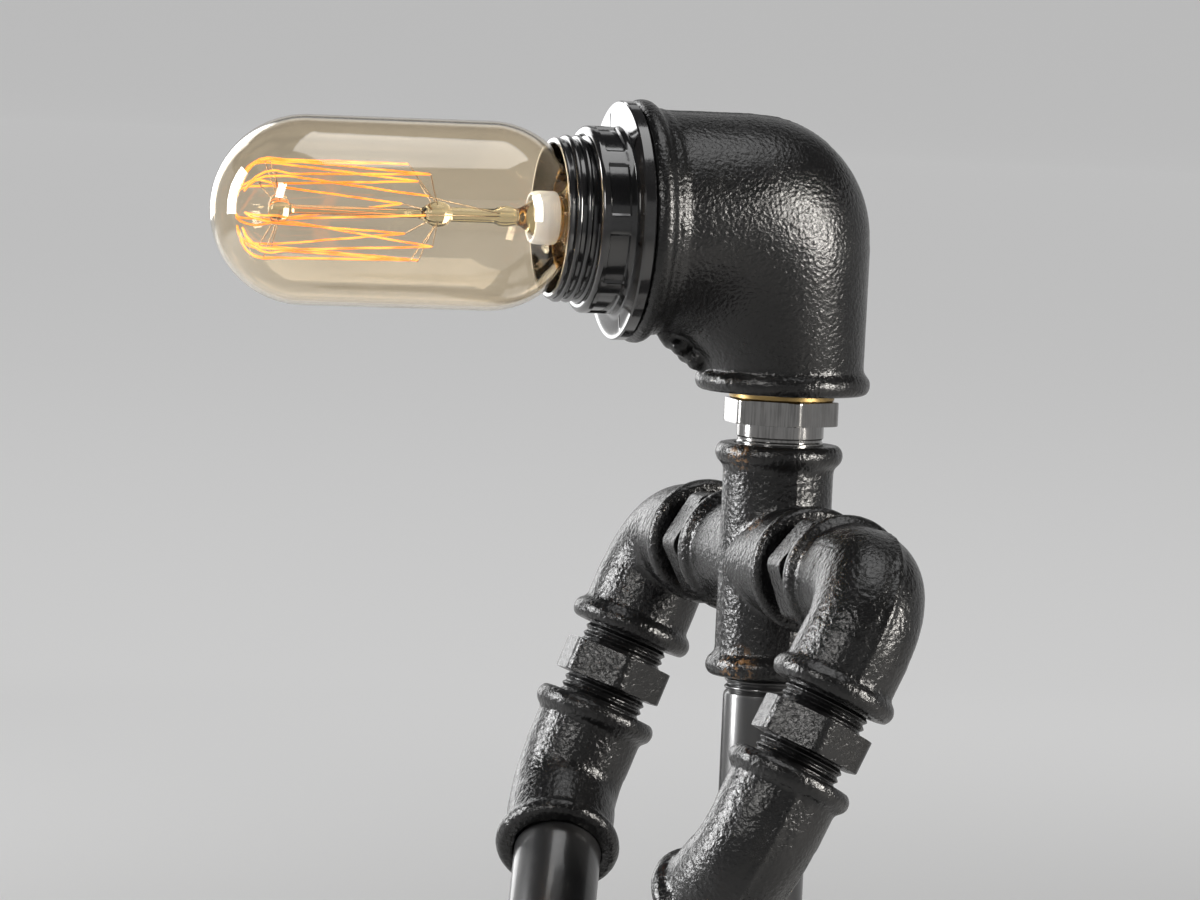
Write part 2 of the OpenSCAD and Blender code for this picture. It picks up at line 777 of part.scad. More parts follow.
module waist_nipple() {
    color("#2b2b2f") translate([0, 0, valve_low - waist_gap / 2]) nipple(waist_gap, hex_af, hex_l);
}

module hip_cross() { color("#26262a") translate([0, 0, hip_z]) cross(); }

// Reducing plug in the lower port, bored for the gland
module gland_plug() {
    color("#26262a") translate([0, 0, plug_face]) mirror([0, 0, 1]) difference() {
        union() {
            translate([0, 0, -engage]) cylinder(r = thread_r, h = engage + plug_hex_l);
            translate([0, 0, fit_gap]) turned_hex(hex_af, plug_hex_l);
        }
        translate([0, 0, -engage - 1]) cylinder(r = gland_r + fit_gap, h = engage + plug_hex_l + 2);
    }
}

module cable_gland() {
    color("#17171a") translate([0, 0, plug_face - plug_hex_l]) mirror([0, 0, 1]) difference() {
        union() {
            translate([0, 0, -engage]) cylinder(r = gland_r, h = engage + 1);
            translate([0, 0, 2 * fit_gap]) turned_hex(gland_af, gland_hex_l);
            translate([0, 0, gland_hex_l]) rotate_extrude() intersection() {
                square([gland_nut_r, gland_nut_l]);
                circle(r = gland_nut_r + 2);
            }
        }
        translate([0, 0, -engage - 1]) cylinder(r = cable_r, h = 2 * engage + 20);
    }
}

module spine_wires() {
    low = plug_face - plug_hex_l + engage + 0.2;
    high = head_low + 2.5;
    color("#3a2a22") for (x = [-core_x, core_x]) {
        translate([x, 0, low]) cylinder(r = core_r, h = valve_z - switch_r - 0.1 - low);
        translate([x, 0, valve_z + switch_r + 0.1]) cylinder(r = core_r, h = high - valve_z - switch_r);
    }
}

// ---- arms ----

module shoulder_elbow(right) { color("#26262a") at_arm(right) elbow_90(); }
module arm_nipple(right) {
    color("#2b2b2f") at_arm(right) translate([0, 0, -elbow_a - arm_gap / 2])
        rotate([0, 0, 8]) nipple(arm_gap, hex_af, hex_l);
}
module arm_bend(right) { color("#26262a") at_forearm(right) elbow_45(); }
module forearm_pipe(right) {
    color("#1c1c1f") along_forearm(right) translate([0, 0, bend_a]) pipe(forearm_gap, 0);
}
module fist_cap(right) {
    color("#26262a") along_forearm(right) translate([0, 0, bend_a + forearm_gap]) difference() {
        union() {
            translate([0, 0, bead_w]) bead(bead_r, bead_w);
            translate([0, 0, 1]) cylinder(r = barrel_r, h = fist_l - 4);
            translate([0, 0, fist_l - fist_dome_l]) intersection() {
                cylinder(r = barrel_r - eps, h = fist_dome_l);
                translate([0, 0, fist_dome_l - fist_dome_r]) sphere(r = fist_dome_r);
            }
        }
        translate([0, 0, -1]) cylinder(r = socket_r, h = socket_d + 1);
    }
}

module left_shoulder_elbow() { shoulder_elbow(false); }
module right_shoulder_elbow() { shoulder_elbow(true); }
module left_arm_nipple() { arm_nipple(false); }
module right_arm_nipple() { arm_nipple(true); }
module left_arm_bend() { arm_bend(false); }
module right_arm_bend() { arm_bend(true); }
module left_forearm_pipe() { forearm_pipe(false); }
module right_forearm_pipe() { forearm_pipe(true); }
module left_fist_cap() { fist_cap(false); }
module right_fist_cap() { fist_cap(true); }

// ---- legs ----

module thigh_nipple(right) {
    color("#2b2b2f") at_leg(right) translate([0, 0, -elbow_a - arm_gap / 2])
        rotate([0, 0, 15]) nipple(arm_gap, hex_af, hex_l);
}
module knee_socket(right) {
    color("#26262a") on_side(right) translate([side_x, 0, shin_top]) difference() {
        union() {
            cylinder(r = barrel_r, h = knee_l - eps);
            translate([0, 0, knee_l]) bead(bead_r, bead_w);
            mirror([0, 0, 1]) bead(bead_r, bead_w);
        }
        translate([0, 0, -1]) cylinder(r = bore_r, h = knee_l + 2);
        translate([0, 0, -1]) cylinder(r = socket_r, h = socket_d + 1);
        translate([0, 0, knee_l - socket_d]) cylinder(r = socket_r, h = socket_d + 1);
    }
}
module shin_pipe(right) {
    color("#1c1c1f") on_side(right) translate([side_x, 0, foot_top]) pipe(shin_gap, 0);
}
module foot_flange(right) {
    color("#26262a") on_side(right) translate([side_x, 0, 0]) difference() {
        union() {
            rotate_extrude() {
                square([foot_r - 1.5, foot_t]);
                square([foot_r, foot_t - 1.5]);
                translate([foot_r - 1.5, foot_t - 1.5]) circle(r = 1.49);
            }
            rotate_extrude() polygon([[0, 1], [barrel_r + 6, 1], [barrel_r + 6, foot_t],
                [barrel_r + 2, foot_t + 3], [barrel_r + 1, foot_h - bead_w], [0, foot_h - bead_w]]);
            translate([0, 0, foot_h]) bead(bead_r + 0.7, bead_w + eps);
        }
        translate([0, 0, foot_h - socket_d]) cylinder(r = socket_r, h = socket_d + 1);
        translate([0, 0, -1]) cylinder(r = bore_r, h = foot_h);
        for (i = [0:foot_screws - 1]) rotate([0, 0, 45 + i * 360 / foot_screws])
            translate([screw_circle, 0, -1]) cylinder(r = screw_r, h = foot_t + 2);
    }
}

module left_hip_nipple() { shoulder_nipple(false, hip_z, hex_turn + 10); }
module right_hip_nipple() { shoulder_nipple(true, hip_z, hex_turn); }
module left_hip_elbow() { color("#26262a") at_leg(false) elbow_90(); }
module right_hip_elbow() { color("#26262a") at_leg(true) elbow_90(); }
module left_thigh_nipple() { thigh_nipple(false); }
module right_thigh_nipple() { thigh_nipple(true); }
module left_knee_socket() { knee_socket(false); }
module right_knee_socket() { knee_socket(true); }
module left_shin_pipe() { shin_pipe(false); }
module right_shin_pipe() { shin_pipe(true); }
module left_foot_flange() { foot_flange(false); }
module right_foot_flange() { foot_flange(true); }

head_elbow();
neck_bush();
lamp_holder();
shade_ring();
holder_shell();
holder_contact();
head_wires();
bulb_glass();
bulb_cap();
bulb_cap_insulator();
bulb_contact();
glass_stem();
heat_disc();
filament();
filament_supports();
chest_cross();
neck_nipple();
left_shoulder_nipple();
right_shoulder_nipple();
left_shoulder_elbow();
right_shoulder_elbow();
left_arm_nipple();
right_arm_nipple();
left_arm_bend();
right_arm_bend();
left_forearm_pipe();
right_forearm_pipe();
left_fist_cap();
right_fist_cap();
spine_pipe();
valve_body();
valve_bonnet();
rotary_switch();
tap_spindle();
tap_handwheel();
tap_screw();
waist_nipple();
hip_cross();
gland_plug();
cable_gland();
spine_wires();
left_hip_nipple();
right_hip_nipple();
left_hip_elbow();
right_hip_elbow();
left_thigh_nipple();
right_thigh_nipple();
left_knee_socket();
right_knee_socket();
left_shin_pipe();
right_shin_pipe();
left_foot_flange();
right_foot_flange();
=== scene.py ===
from functools import cache
import json
import math
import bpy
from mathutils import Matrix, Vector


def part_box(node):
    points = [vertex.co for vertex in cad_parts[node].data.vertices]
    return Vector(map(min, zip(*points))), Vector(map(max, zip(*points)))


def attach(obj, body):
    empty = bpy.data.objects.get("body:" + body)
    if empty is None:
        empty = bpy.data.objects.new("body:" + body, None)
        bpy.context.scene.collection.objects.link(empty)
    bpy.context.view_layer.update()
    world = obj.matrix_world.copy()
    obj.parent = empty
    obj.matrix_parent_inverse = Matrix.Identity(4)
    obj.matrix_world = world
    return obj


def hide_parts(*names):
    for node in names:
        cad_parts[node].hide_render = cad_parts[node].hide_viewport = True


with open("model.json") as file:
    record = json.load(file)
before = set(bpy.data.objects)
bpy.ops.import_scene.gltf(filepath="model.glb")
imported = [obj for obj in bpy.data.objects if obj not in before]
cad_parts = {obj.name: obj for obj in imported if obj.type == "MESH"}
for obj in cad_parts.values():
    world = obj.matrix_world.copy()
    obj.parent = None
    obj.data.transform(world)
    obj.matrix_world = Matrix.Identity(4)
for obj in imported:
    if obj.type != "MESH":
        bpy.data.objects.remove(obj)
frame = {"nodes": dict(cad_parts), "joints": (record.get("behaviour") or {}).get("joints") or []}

from types import SimpleNamespace

import bmesh
import bpy
from mathutils import Matrix, Vector

bl_info = {
    "name": "Pipe fitting robot lamp",
    "version": (1, 0, 0),
    "blender": (4, 5, 0),
    "location": "3D View > Sidebar > Robot Lamp",
    "description": "Dresses the frame of a desk lamp made of iron pipe fittings",
    "category": "Object",
}

MM = 0.001
LEFT = Vector((1, 0, 0))
UP = Vector((0, 0, 1))
SIDES = (("left", 1), ("right", -1))
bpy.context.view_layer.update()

# Sizes of the half inch fittings, in mm
BORE_R = 7.6
THREAD_R = 10.48
THREAD_PITCH = 1.81
SCREWED_IN = 13
PIPE_R = 10.65
HEX_FLATS = 25.0
BODY_R = 13.15
ELBOW_R = 14.0
ELBOW_FACE = 23.0
ARM_BEND_REACH = 22


# ---- places in the frame ----

def low(node):
    """Lowest corner of a node."""
    return Vector(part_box(node)[0])


def high(node):
    """Highest corner of a node."""
    return Vector(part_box(node)[1])


def middle(node):
    """Middle of a node's box."""
    return (low(node) + high(node)) / 2


def joint(name):
    """The record's joint of that name."""
    return next(j for j in frame["joints"] if j["name"] == name)


def axes_at(origin, across, along):
    """Matrix whose local x lies near across and whose local z runs along."""
    z = Vector(along).normalized()
    y = z.cross(Vector(across)).normalized()
    x = y.cross(z)
    turned = Matrix((x, y, z)).transposed().to_4x4()
    turned.translation = origin
    return turned


def mouth_place():
    """Frame at the holder's axis over the neck: z forward out of the mouth, y up."""
    forward = Vector(joint("bulb_draw")["axis"])
    place = Matrix((UP.cross(forward), UP, forward)).transposed().to_4x4()
    place.translation = Vector((0, 0, middle("bulb_glass").z))
    return place


# ---- shader and geometry trees ----

def arithmetic(operation, swapped=False):
    """Method of Wire for an arithmetic sign, or for its swapped form."""
    def method(self, other):
        node = self.tree.nodes.new("ShaderNodeMath")
        node.operation = operation
        for socket, term in zip(node.inputs, (other, self) if swapped else (self, other)):
            feed(self.tree, socket, term)
        return Wire(self.tree, node.outputs[0])
    return method


class Wire:
    """An output socket that takes part in arithmetic; each sign adds a Math node."""

    def __init__(self, tree, socket):
        self.tree = tree
        self.socket = socket

    __add__, __radd__ = arithmetic("ADD"), arithmetic("ADD", True)
    __sub__, __rsub__ = arithmetic("SUBTRACT"), arithmetic("SUBTRACT", True)
    __mul__, __rmul__ = arithmetic("MULTIPLY"), arithmetic("MULTIPLY", True)


def feed(tree, socket, value):
    """Links a Wire or a node's first output to a socket, or sets the socket to a plain value."""
    if isinstance(value, Wire):
        tree.links.new(value.socket, socket)
    elif isinstance(value, bpy.types.Node):
        tree.links.new(value.outputs[0], socket)
    else:
        socket.default_value = value


class Builder:
    """Adds nodes to a tree: type, settings, then the values or links of its sockets."""

    def __init__(self, tree):
        self.tree = tree

    def add(self, kind, settings=None, sockets=None):
        """New node with its settings and its input sockets."""
        node = self.tree.nodes.new(kind)
        for key, value in (settings or {}).items():
            setattr(node, key, value)
        for key, value in (sockets or {}).items():
            feed(self.tree, node.inputs[key], value)
        return node

    def out(self, node, key=0):
        """A node's output, ready for arithmetic."""
        return Wire(self.tree, node.outputs[key])


class Finish(Builder):
    """A material with one Principled shader and helpers for its patterns."""

    def __init__(self, name):
        self.material = bpy.data.materials.new(name)
        self.material.use_nodes = True
        super().__init__(self.material.node_tree)
        self.tree.nodes.clear()
        self.shader = self.add("ShaderNodeBsdfPrincipled")
        self.output = self.add("ShaderNodeOutputMaterial")
        feed(self.tree, self.output.inputs["Surface"], self.shader)
        self.place = self.out(self.add("ShaderNodeTexCoord"), "Object")

    def noise(self, size, detail=2.0, rough=0.5, bend=0.0, scale=None):
        """Soft noise from 0 to 1 whose features are about size metres across; a scale under 1
        draws them out along that axis."""
        place = self.place
        if scale:
            place = self.add("ShaderNodeMapping", None, {"Vector": place, "Scale": scale})
        sockets = {"Vector": place, "Scale": 1 / size, "Detail": detail, "Roughness": rough,
                   "Distortion": bend}
        return self.out(self.add("ShaderNodeTexNoise", None, sockets), "Fac")

    def cells(self, size):
        """Rounded cells, 0 at their middles and rising to their edges."""
        sockets = {"Vector": self.place, "Scale": 1 / size, "Smoothness": 0.4}
        return self.out(self.add("ShaderNodeTexVoronoi", {"feature": "SMOOTH_F1"}, sockets), "Distance")

    def step(self, value, start, end, top=1.0):
        """Rises smoothly from 0 at start to top at end."""
        settings = {"interpolation_type": "SMOOTHSTEP"}
        sockets = {"Value": value, "From Min": start, "From Max": end, "To Max": top}
        return self.out(self.add("ShaderNodeMapRange", settings, sockets))

    def mix(self, share, first, second):
        """From the first colour at 0 to the second at 1."""
        node = self.add("ShaderNodeMix", {"data_type": "RGBA"}, {0: share, 6: first, 7: second})
        return self.out(node, 2)

    def near(self, point, radius):
        """1 at a point, fading to 0 at the radius."""
        node = self.add("ShaderNodeVectorMath", {"operation": "DISTANCE"}, {0: self.place, 1: point})
        return self.step(self.out(node, "Value"), radius, radius * 0.3)

    def bump(self, height, distance, strength):
        """Relief on the surface, its depth in metres."""
        sockets = {"Height": height, "Distance": distance, "Strength": strength}
        self.set(Normal=self.add("ShaderNodeBump", None, sockets))

    def set(self, **sockets):
        """Values or links for the shader; _ stands for a space."""
        for key, value in sockets.items():
            feed(self.tree, self.shader.inputs[key.replace("_", " ")], value)
        return self


def rgb(colour, share=1.0):
    """Colour for a socket, darkened to a share."""
    return (*(c * share for c in tuple(colour)[:3]), 1.0)


# ---- finishes ----

def cast_iron_finish(name="cast_black_iron", rust_places=(), coarse=1.0, deep=1.0):
    """Thick black paint over a pebbled casting, with small rusty places."""
    look = bpy.context.scene.lamp_looks
    f = Finish(name)
    grain = look.grain_size * MM * coarse
    wrinkles = f.noise(grain, 3.0, 0.55, bend=0.5)
    cells = f.cells(grain * 1.2)
    fine = f.noise(grain * 0.3, 2.0, 0.6)
    f.bump(wrinkles + cells * 0.6 + fine * 0.08, look.grain_depth * MM * deep, 1.0)
    patches = f.noise(0.014, 3.0, 0.6)
    worn = f.step(patches, 0.56, 0.8, 0.4)
    colour = f.mix(worn, rgb(look.iron), rgb(look.iron_worn))
    for point, radius in rust_places:
        speckle = f.step(f.noise(0.0016, 3.0, 0.65), 0.48, 0.6)
        colour = f.mix(speckle * f.near(point, radius), colour, rgb(look.rust))
    rough = look.iron_rough + f.step(patches, 0.3, 0.75, 0.08) + f.step(fine, 0.4, 0.8, 0.05)
    return f.set(Base_Color=colour, Roughness=rough, Specular_IOR_Level=0.34).material


def pipe_finish():
    """Smooth satin black pipe with faint drawing marks along it."""
    look = bpy.context.scene.lamp_looks
    f = Finish("smooth_black_pipe")
    streaks = f.noise(0.0016, scale=(1.0, 1.0, 0.06))
    dust = f.noise(0.009, 3.0, 0.6)
    colour = f.mix(f.step(dust, 0.5, 0.8, 0.5), rgb(look.pipe), rgb(look.iron_worn))
    f.bump(streaks + dust * 0.4, 0.00006, 0.6)
    return f.set(Base_Color=colour, Roughness=0.27 + streaks * 0.1, Coat_Roughness=0.1,
                 Coat_Weight=0.4).material


def brushed_finish(name, colour, rough):
    """Plated metal with fine brush lines that run up and down."""
    f = Finish(name)
    lines = f.noise(0.0005, 2.0, 0.6, scale=(1.0, 1.0, 0.04))
    clouds = f.noise(0.005)
    shade = f.mix(f.step(lines + clouds * 0.4, 0.55, 0.95), rgb(colour), rgb(colour, 0.6))
    f.bump(lines, 0.00004, 0.4)
    return f.set(Base_Color=shade, Metallic=1.0, Roughness=rough + f.step(lines, 0.4, 0.7, 0.12)).material


def metal_finish(name, colour, rough, marks=0.0012):
    """Bright metal with turning marks and a little tarnish."""
    f = Finish(name)
    lines = f.noise(marks, 2.0, 0.6, scale=(0.25, 0.25, 1.0))
    tarnish = f.noise(0.006, 3.0, 0.6)
    shade = f.mix(f.step(tarnish, 0.42, 0.75, 0.7), rgb(colour), rgb(colour, 0.62))
    f.bump(lines, 0.00003, 0.5)
    return f.set(Base_Color=shade, Metallic=1.0, Roughness=rough + f.step(tarnish, 0.4, 0.8, 0.14)).material


def moulded_finish(name, colour, rough, coat=0.0):
    """Moulded plastic with a faint skin and soft clouding."""
    f = Finish(name)
    skin = f.noise(0.0009)
    clouds = f.noise(0.008)
    paler = tuple(min(1.0, c * 1.8 + 0.004) for c in tuple(colour)[:3])
    shade = f.mix(f.step(clouds, 0.45, 0.8, 0.5), rgb(colour), rgb(paler))
    f.bump(skin, 0.00003, 0.4)
    return f.set(Base_Color=shade, Roughness=rough + clouds * 0.06, Coat_Weight=coat,
                 Coat_Roughness=0.06).material


def glass_finish(name, colour):
    """Clear glass that lets the lamps' light through to what it holds."""
    f = Finish(name)
    ripple = f.noise(0.02, 1.0, 0.4)
    tint = f.mix(f.step(ripple, 0.3, 0.7), rgb(colour), rgb(colour, 0.94))
    f.set(Base_Color=tint, Transmission_Weight=1.0, IOR=1.45, Roughness=0.0)
    clear = f.add("ShaderNodeBsdfTransparent", None, {"Color": rgb(colour)})
    shadow = f.out(f.add("ShaderNodeLightPath"), "Is Shadow Ray")
    feed(f.tree, f.output.inputs["Surface"],
         f.add("ShaderNodeMixShader", None, {0: shadow, 1: f.shader, 2: clear}))
    return f.material


def glow_finish():
    """Hot filament wire."""
    look = bpy.context.scene.lamp_looks
    f = Finish("glowing_filament")
    heat = f.noise(0.009)
    cooler = tuple(c * s for c, s in zip(tuple(look.glow)[:3], (0.75, 0.42, 0.2)))
    f.set(Base_Color=(0.2, 0.08, 0.02, 1.0), Roughness=0.6, Emission_Strength=look.glow_strength,
          Emission_Color=f.mix(f.step(heat, 0.38, 0.6), rgb(cooler), rgb(look.glow)))
    return f.material


def woven_finish(name, colour):
    """Woven sleeve over flexible cores."""
    f = Finish(name)
    weave = f.out(f.add("ShaderNodeTexWave", {"wave_type": "BANDS", "bands_direction": "DIAGONAL"},
                        {"Vector": f.place, "Scale": 900.0, "Distortion": 1.0}), "Fac")
    f.bump(weave, 0.0001, 0.6)
    return f.set(Base_Color=f.mix(weave, rgb(colour, 0.5), rgb(colour)), Roughness=0.85).material


@cache
def finish(name):
    """One of the lamp's materials, made the first time that it is asked for."""
    look = bpy.context.scene.lamp_looks
    makers = {
        "iron": cast_iron_finish,
        "head": lambda: cast_iron_finish("cast_black_iron_head", coarse=0.85, deep=0.77),
        "pipe": pipe_finish,
        "nickel": lambda: brushed_finish("polished_nickel", look.nickel, 0.1),
        "brass": lambda: metal_finish("bright_brass", look.brass, 0.2),
        "bush": lambda: metal_finish("dull_brass", rgb(look.brass, 0.45), 0.34),
        "cap": lambda: metal_finish("bulb_cap_brass", look.brass, 0.24, 0.002),
        "steel": lambda: metal_finish("plain_steel", (0.6, 0.6, 0.62), 0.3),
        "wire": lambda: metal_finish("support_wire", (0.42, 0.34, 0.26), 0.35, 0.0006),
        "phenolic": lambda: moulded_finish("glossy_phenolic", look.phenolic, 0.12, coat=0.5),
        "gland": lambda: moulded_finish("gland_plastic", (0.018, 0.018, 0.02), 0.42),
        "switch": lambda: moulded_finish("switch_plastic", (0.12, 0.07, 0.045), 0.5),
        "glass": lambda: glass_finish("amber_glass", look.glass),
        "stem": lambda: glass_finish("stem_glass", look.stem),
        "white": lambda: moulded_finish("white_ceramic", look.white, 0.35),
        "bead": lambda: moulded_finish("black_glass_bead", (0.02, 0.02, 0.03), 0.08),
        "glow": glow_finish,
        "sleeve": lambda: woven_finish("woven_sleeve", (0.16, 0.1, 0.06)),
    }
    return makers[name]()


# ---- meshes ----

def linked(name, mesh):
    """New object in the scene."""
    piece = bpy.data.objects.new(name, mesh)
    bpy.context.scene.collection.objects.link(piece)
    return piece


def dressed(piece, body, slot, material, *nodes, crease=35):
    """Gives a piece its material, body and the nodes that it stands for; the slot is not used."""
    mesh = piece.data
    if material is not None:
        mesh.materials.clear()
        mesh.materials.append(material)
    mesh.shade_smooth()
    mesh.set_sharp_from_angle(angle=math.radians(crease))
    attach(piece, body)
    if nodes:
        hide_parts(*nodes)
    return piece


def clad(node, material):
    """A node that keeps its own mesh gets a finished material."""
    mesh = frame["nodes"][node].data
    mesh.materials.clear()
    mesh.materials.append(material)


def ended(name, bm, place=None):
    """A bmesh as a new mesh, moved to its place."""
    mesh = bpy.data.meshes.new(name)
    bm.to_mesh(mesh)
    bm.free()
    if place:
        mesh.transform(place)
    return mesh


def circle(radius, height, sides):
    """Points of a level ring, from mm, or one point where it meets the axis."""
    if not callable(radius) and radius < 1e-6:
        return [(0, 0, height * MM)]
    points = []
    for k in range(sides):
        a = 2 * math.pi * k / sides
        r = radius(a) if callable(radius) else radius
        points.append((r * math.cos(a) * MM, r * math.sin(a) * MM, height * MM))
    return points


def skinned(bm, rings):
    """Adds rings of points and the faces between neighbours; returns the rings' vertices."""
    made = [[bm.verts.new(point) for point in ring] for ring in rings]
    for a, b in zip(made, made[1:]):
        bridge(bm, a, b)
    return made


def bridge(bm, a, b):
    """Faces between two rings of vertices, either of which may be a single one."""
    sides = max(len(a), len(b))
    for k in range(sides):
        n = (k + 1) % sides
        corners = dict.fromkeys((a[k % len(a)], a[n % len(a)], b[n % len(b)], b[k % len(b)]))
        if len(corners) > 2:
            bm.faces.new(list(corners))


def turned_mesh(name, outline, place, sides=96):
    """Closed solid of revolution. outline is a loop of (radius in mm, height in mm) points,
    where a radius may be a function of the angle; it starts and ends on the axis or closes."""
    bm = bmesh.new()
    made = skinned(bm, [circle(radius, height, sides) for radius, height in outline])
    if len(made[0]) > 1:
        bridge(bm, made[-1], made[0])
    bmesh.ops.recalc_face_normals(bm, faces=bm.faces)
    return ended(name, bm, place)


def turned_half(line, place):
    """Open surface of revolution along a line that meets the axis at one end."""
    bm = bmesh.new()
    skinned(bm, [circle(radius, height, 144) for radius, height in line])
    return ended("half", bm, place)


def turned_piece(name, outline, place, sides, body, slot, paint, node, crease=24):
    """Solid of revolution, dressed in one go."""
    piece = linked(name, turned_mesh(name, outline, place, sides))
    return dressed(piece, body, slot, finish(paint), node, crease=crease)


def arc(cx, cy, r, start, end, steps):
    """Points of an arc in (radius, height) space, in degrees."""
    turns = [math.radians(start + (end - start) * k / steps) for k in range(steps + 1)]
    return [(cx + r * math.cos(t), cy + r * math.sin(t)) for t in turns]


def hexagon(flats):
    """Radius of a hexagon over the angle, its corners eased."""
    eased = 0.5
    reach = flats / math.sqrt(3) - eased
    half = flats / 2

    def radius(a):
        lean = a % (math.pi / 3) - math.pi / 6
        return min(half / math.cos(lean), reach)
    return radius


def turned_in(radius, limit):
    """A radius over the angle, cut down to a limit."""
    return lambda a: min(radius(a), limit)


def hex_rings(flats, start, length, turn=1.1):
    """Outline of a hexagon whose corners are turned off at both ends."""
    shape = hexagon(flats)
    corner = flats / math.sqrt(3)
    steps = 4
    rings = []
    for k in range(steps + 1):
        t = math.pi / 2 * k / steps
        rings.append((turned_in(shape, corner - turn * (1 - math.sin(t))),
                      start + turn * 0.8 * (1 - math.cos(t))))
    back = [(r, 2 * start + length - h) for r, h in reversed(rings)]
    return rings + back


def merged_copy(node):
    """A node's mesh with its loose triangles joined, as a new mesh."""
    mesh = frame["nodes"][node].data.copy()
    bm = bmesh.new()
    bm.from_mesh(mesh)
    bmesh.ops.remove_doubles(bm, verts=bm.verts, dist=1e-6)
    bm.to_mesh(mesh)
    bm.free()
    return mesh


def settle(piece):
    """Turns a piece's modifiers into its mesh."""
    bpy.context.view_layer.update()
    ready = piece.evaluated_get(bpy.context.evaluated_depsgraph_get())
    mesh = bpy.data.meshes.new_from_object(ready)
    piece.modifiers.clear()
    old = piece.data
    piece.data = mesh
    bpy.data.meshes.remove(old)


def gathered(meshes):
    """A bmesh that holds all the meshes, which go."""
    bm = bmesh.new()
    for mesh in meshes:
        bm.from_mesh(mesh)
        bpy.data.meshes.remove(mesh)
    return bm


def joined(name, meshes):
    """One mesh from several."""
    return ended(name, gathered(meshes))


def boolean(piece, name, operation, solver, other):
    """Adds a live union or difference with another piece."""
    modifier = piece.modifiers.new(name, "BOOLEAN")
    modifier.operation = operation
    modifier.solver = solver
    modifier.object = other


def as_cast(name, meshes, soften=None, hollow=None):
    """Fuses meshes into one casting: rounded inside corners, eased edges and a pebbled skin."""
    sizes = bpy.context.scene.lamp_sizes
    piece = linked(name, joined(name, meshes))
    coarser = 1.0
    skin = piece.modifiers.new("Skin", "REMESH")
    skin.mode = "VOXEL"
    skin.voxel_size = sizes.skin * MM * coarser
    ease = piece.modifiers.new("Ease", "SMOOTH")
    ease.factor = 0.5
    ease.iterations = soften or sizes.soften
    cloud = bpy.data.textures.new(name + "_pebbles", "CLOUDS")
    cloud.noise_scale = sizes.pebble * MM
    cloud.noise_depth = 1
    grit = piece.modifiers.new("Grit", "DISPLACE")
    grit.texture = cloud
    grit.strength = sizes.pebble_height * MM
    grit.mid_level = 0.5
    grit.texture_coords = "LOCAL"
    if hollow:
        cutter = linked(name + "_hollow", joined(name + "_hollow", hollow))
        boolean(piece, "Hollow", "DIFFERENCE", "MANIFOLD", cutter)
    settle(piece)
    if hollow:
        bpy.data.objects.remove(cutter)
    return piece


def cast_piece(node, body, lines=(), paint=None, soften=None, slot="black_iron", name=None):
    """Casting made from a node's own mesh and its parting lines."""
    piece = as_cast(name or node + "_casting", [merged_copy(node), *lines], soften)
    dressed(piece, body, slot, paint or finish("iron"), node, crease=180)


def ridge(points, radius):
    """Round bead along a line of points in metres: the parting line of a casting."""
    sides = 8
    rings = []
    for k, p in enumerate(points):
        ahead = points[min(k + 1, len(points) - 1)] - points[max(k - 1, 0)]
        place = axes_at(p, ahead.orthogonal(), ahead)
        rings.append([place @ Vector(point) for point in circle(radius, 0, sides)])
    bm = bmesh.new()
    made = skinned(bm, rings)
    bm.faces.new(made[0][::-1])
    bm.faces.new(made[-1])
    return ended("ridge", bm)


# ---- grown pieces ----

class WireTree(Builder):
    """Geometry tree with named number inputs, which sweeps a round section along a curve."""

    def __init__(self, name, *inputs):
        super().__init__(bpy.data.node_groups.new(name, "GeometryNodeTree"))
        kinds = {"Geometry": "Geometry", **{key: "Float" for key in inputs}, "Material": "Material"}
        for key, kind in kinds.items():
            self.tree.interface.new_socket(key, in_out="INPUT", socket_type="NodeSocket" + kind)
        self.tree.interface.new_socket("Geometry", in_out="OUTPUT", socket_type="NodeSocketGeometry")
        source = self.add("NodeGroupInput")
        self.given = {key: self.out(source, key) for key in kinds}

    def swept(self, curve, radius, sides):
        """Ends the tree with a painted tube along the curve."""
        section = self.add("GeometryNodeCurvePrimitiveCircle", None,
                           {"Resolution": sides, "Radius": self.given[radius]})
        body = self.add("GeometryNodeCurveToMesh", None,
                        {"Curve": curve, "Profile Curve": section, "Fill Caps": True})
        painted = self.add("GeometryNodeSetMaterial", None,
                           {"Geometry": body, "Material": self.given["Material"]})
        self.add("NodeGroupOutput", None, {0: painted})
        return self.tree


@cache
def thread_tree():
    """Rounded crest of a screw thread, wound up the z axis."""
    b = WireTree("screw_thread", "Radius", "Turns", "Height", "Crest")
    radius = b.given["Radius"]
    spiral = b.add("GeometryNodeCurveSpiral", None,
                   {"Resolution": 72, "Rotations": b.given["Turns"], "Start Radius": radius,
                    "End Radius": radius, "Height": b.given["Height"]})
    return b.swept(spiral, "Crest", 10)


@cache
def wire_tree():
    """Round wire along every edge that it is given, with a slight wander."""
    b = WireTree("drawn_wire", "Radius", "Step", "Wander")
    line = b.add("GeometryNodeMeshToCurve", None, {0: b.given["Geometry"]})
    fine = b.add("GeometryNodeResampleCurve", {"mode": "LENGTH"},
                 {"Curve": line, "Length": b.given["Step"]})
    sway = b.add("ShaderNodeTexNoise", None, {"Scale": 160.0, "Detail": 1.0})
    centred = b.add("ShaderNodeVectorMath", {"operation": "SUBTRACT"},
                    {0: b.out(sway, "Color"), 1: (0.5, 0.5, 0.5)})
    scaled = b.add("ShaderNodeVectorMath", {"operation": "SCALE"},
                   {0: centred, "Scale": b.given["Wander"]})
    moved = b.add("GeometryNodeSetPosition", None, {"Geometry": fine, "Offset": scaled})
    return b.swept(moved, "Radius", 8)


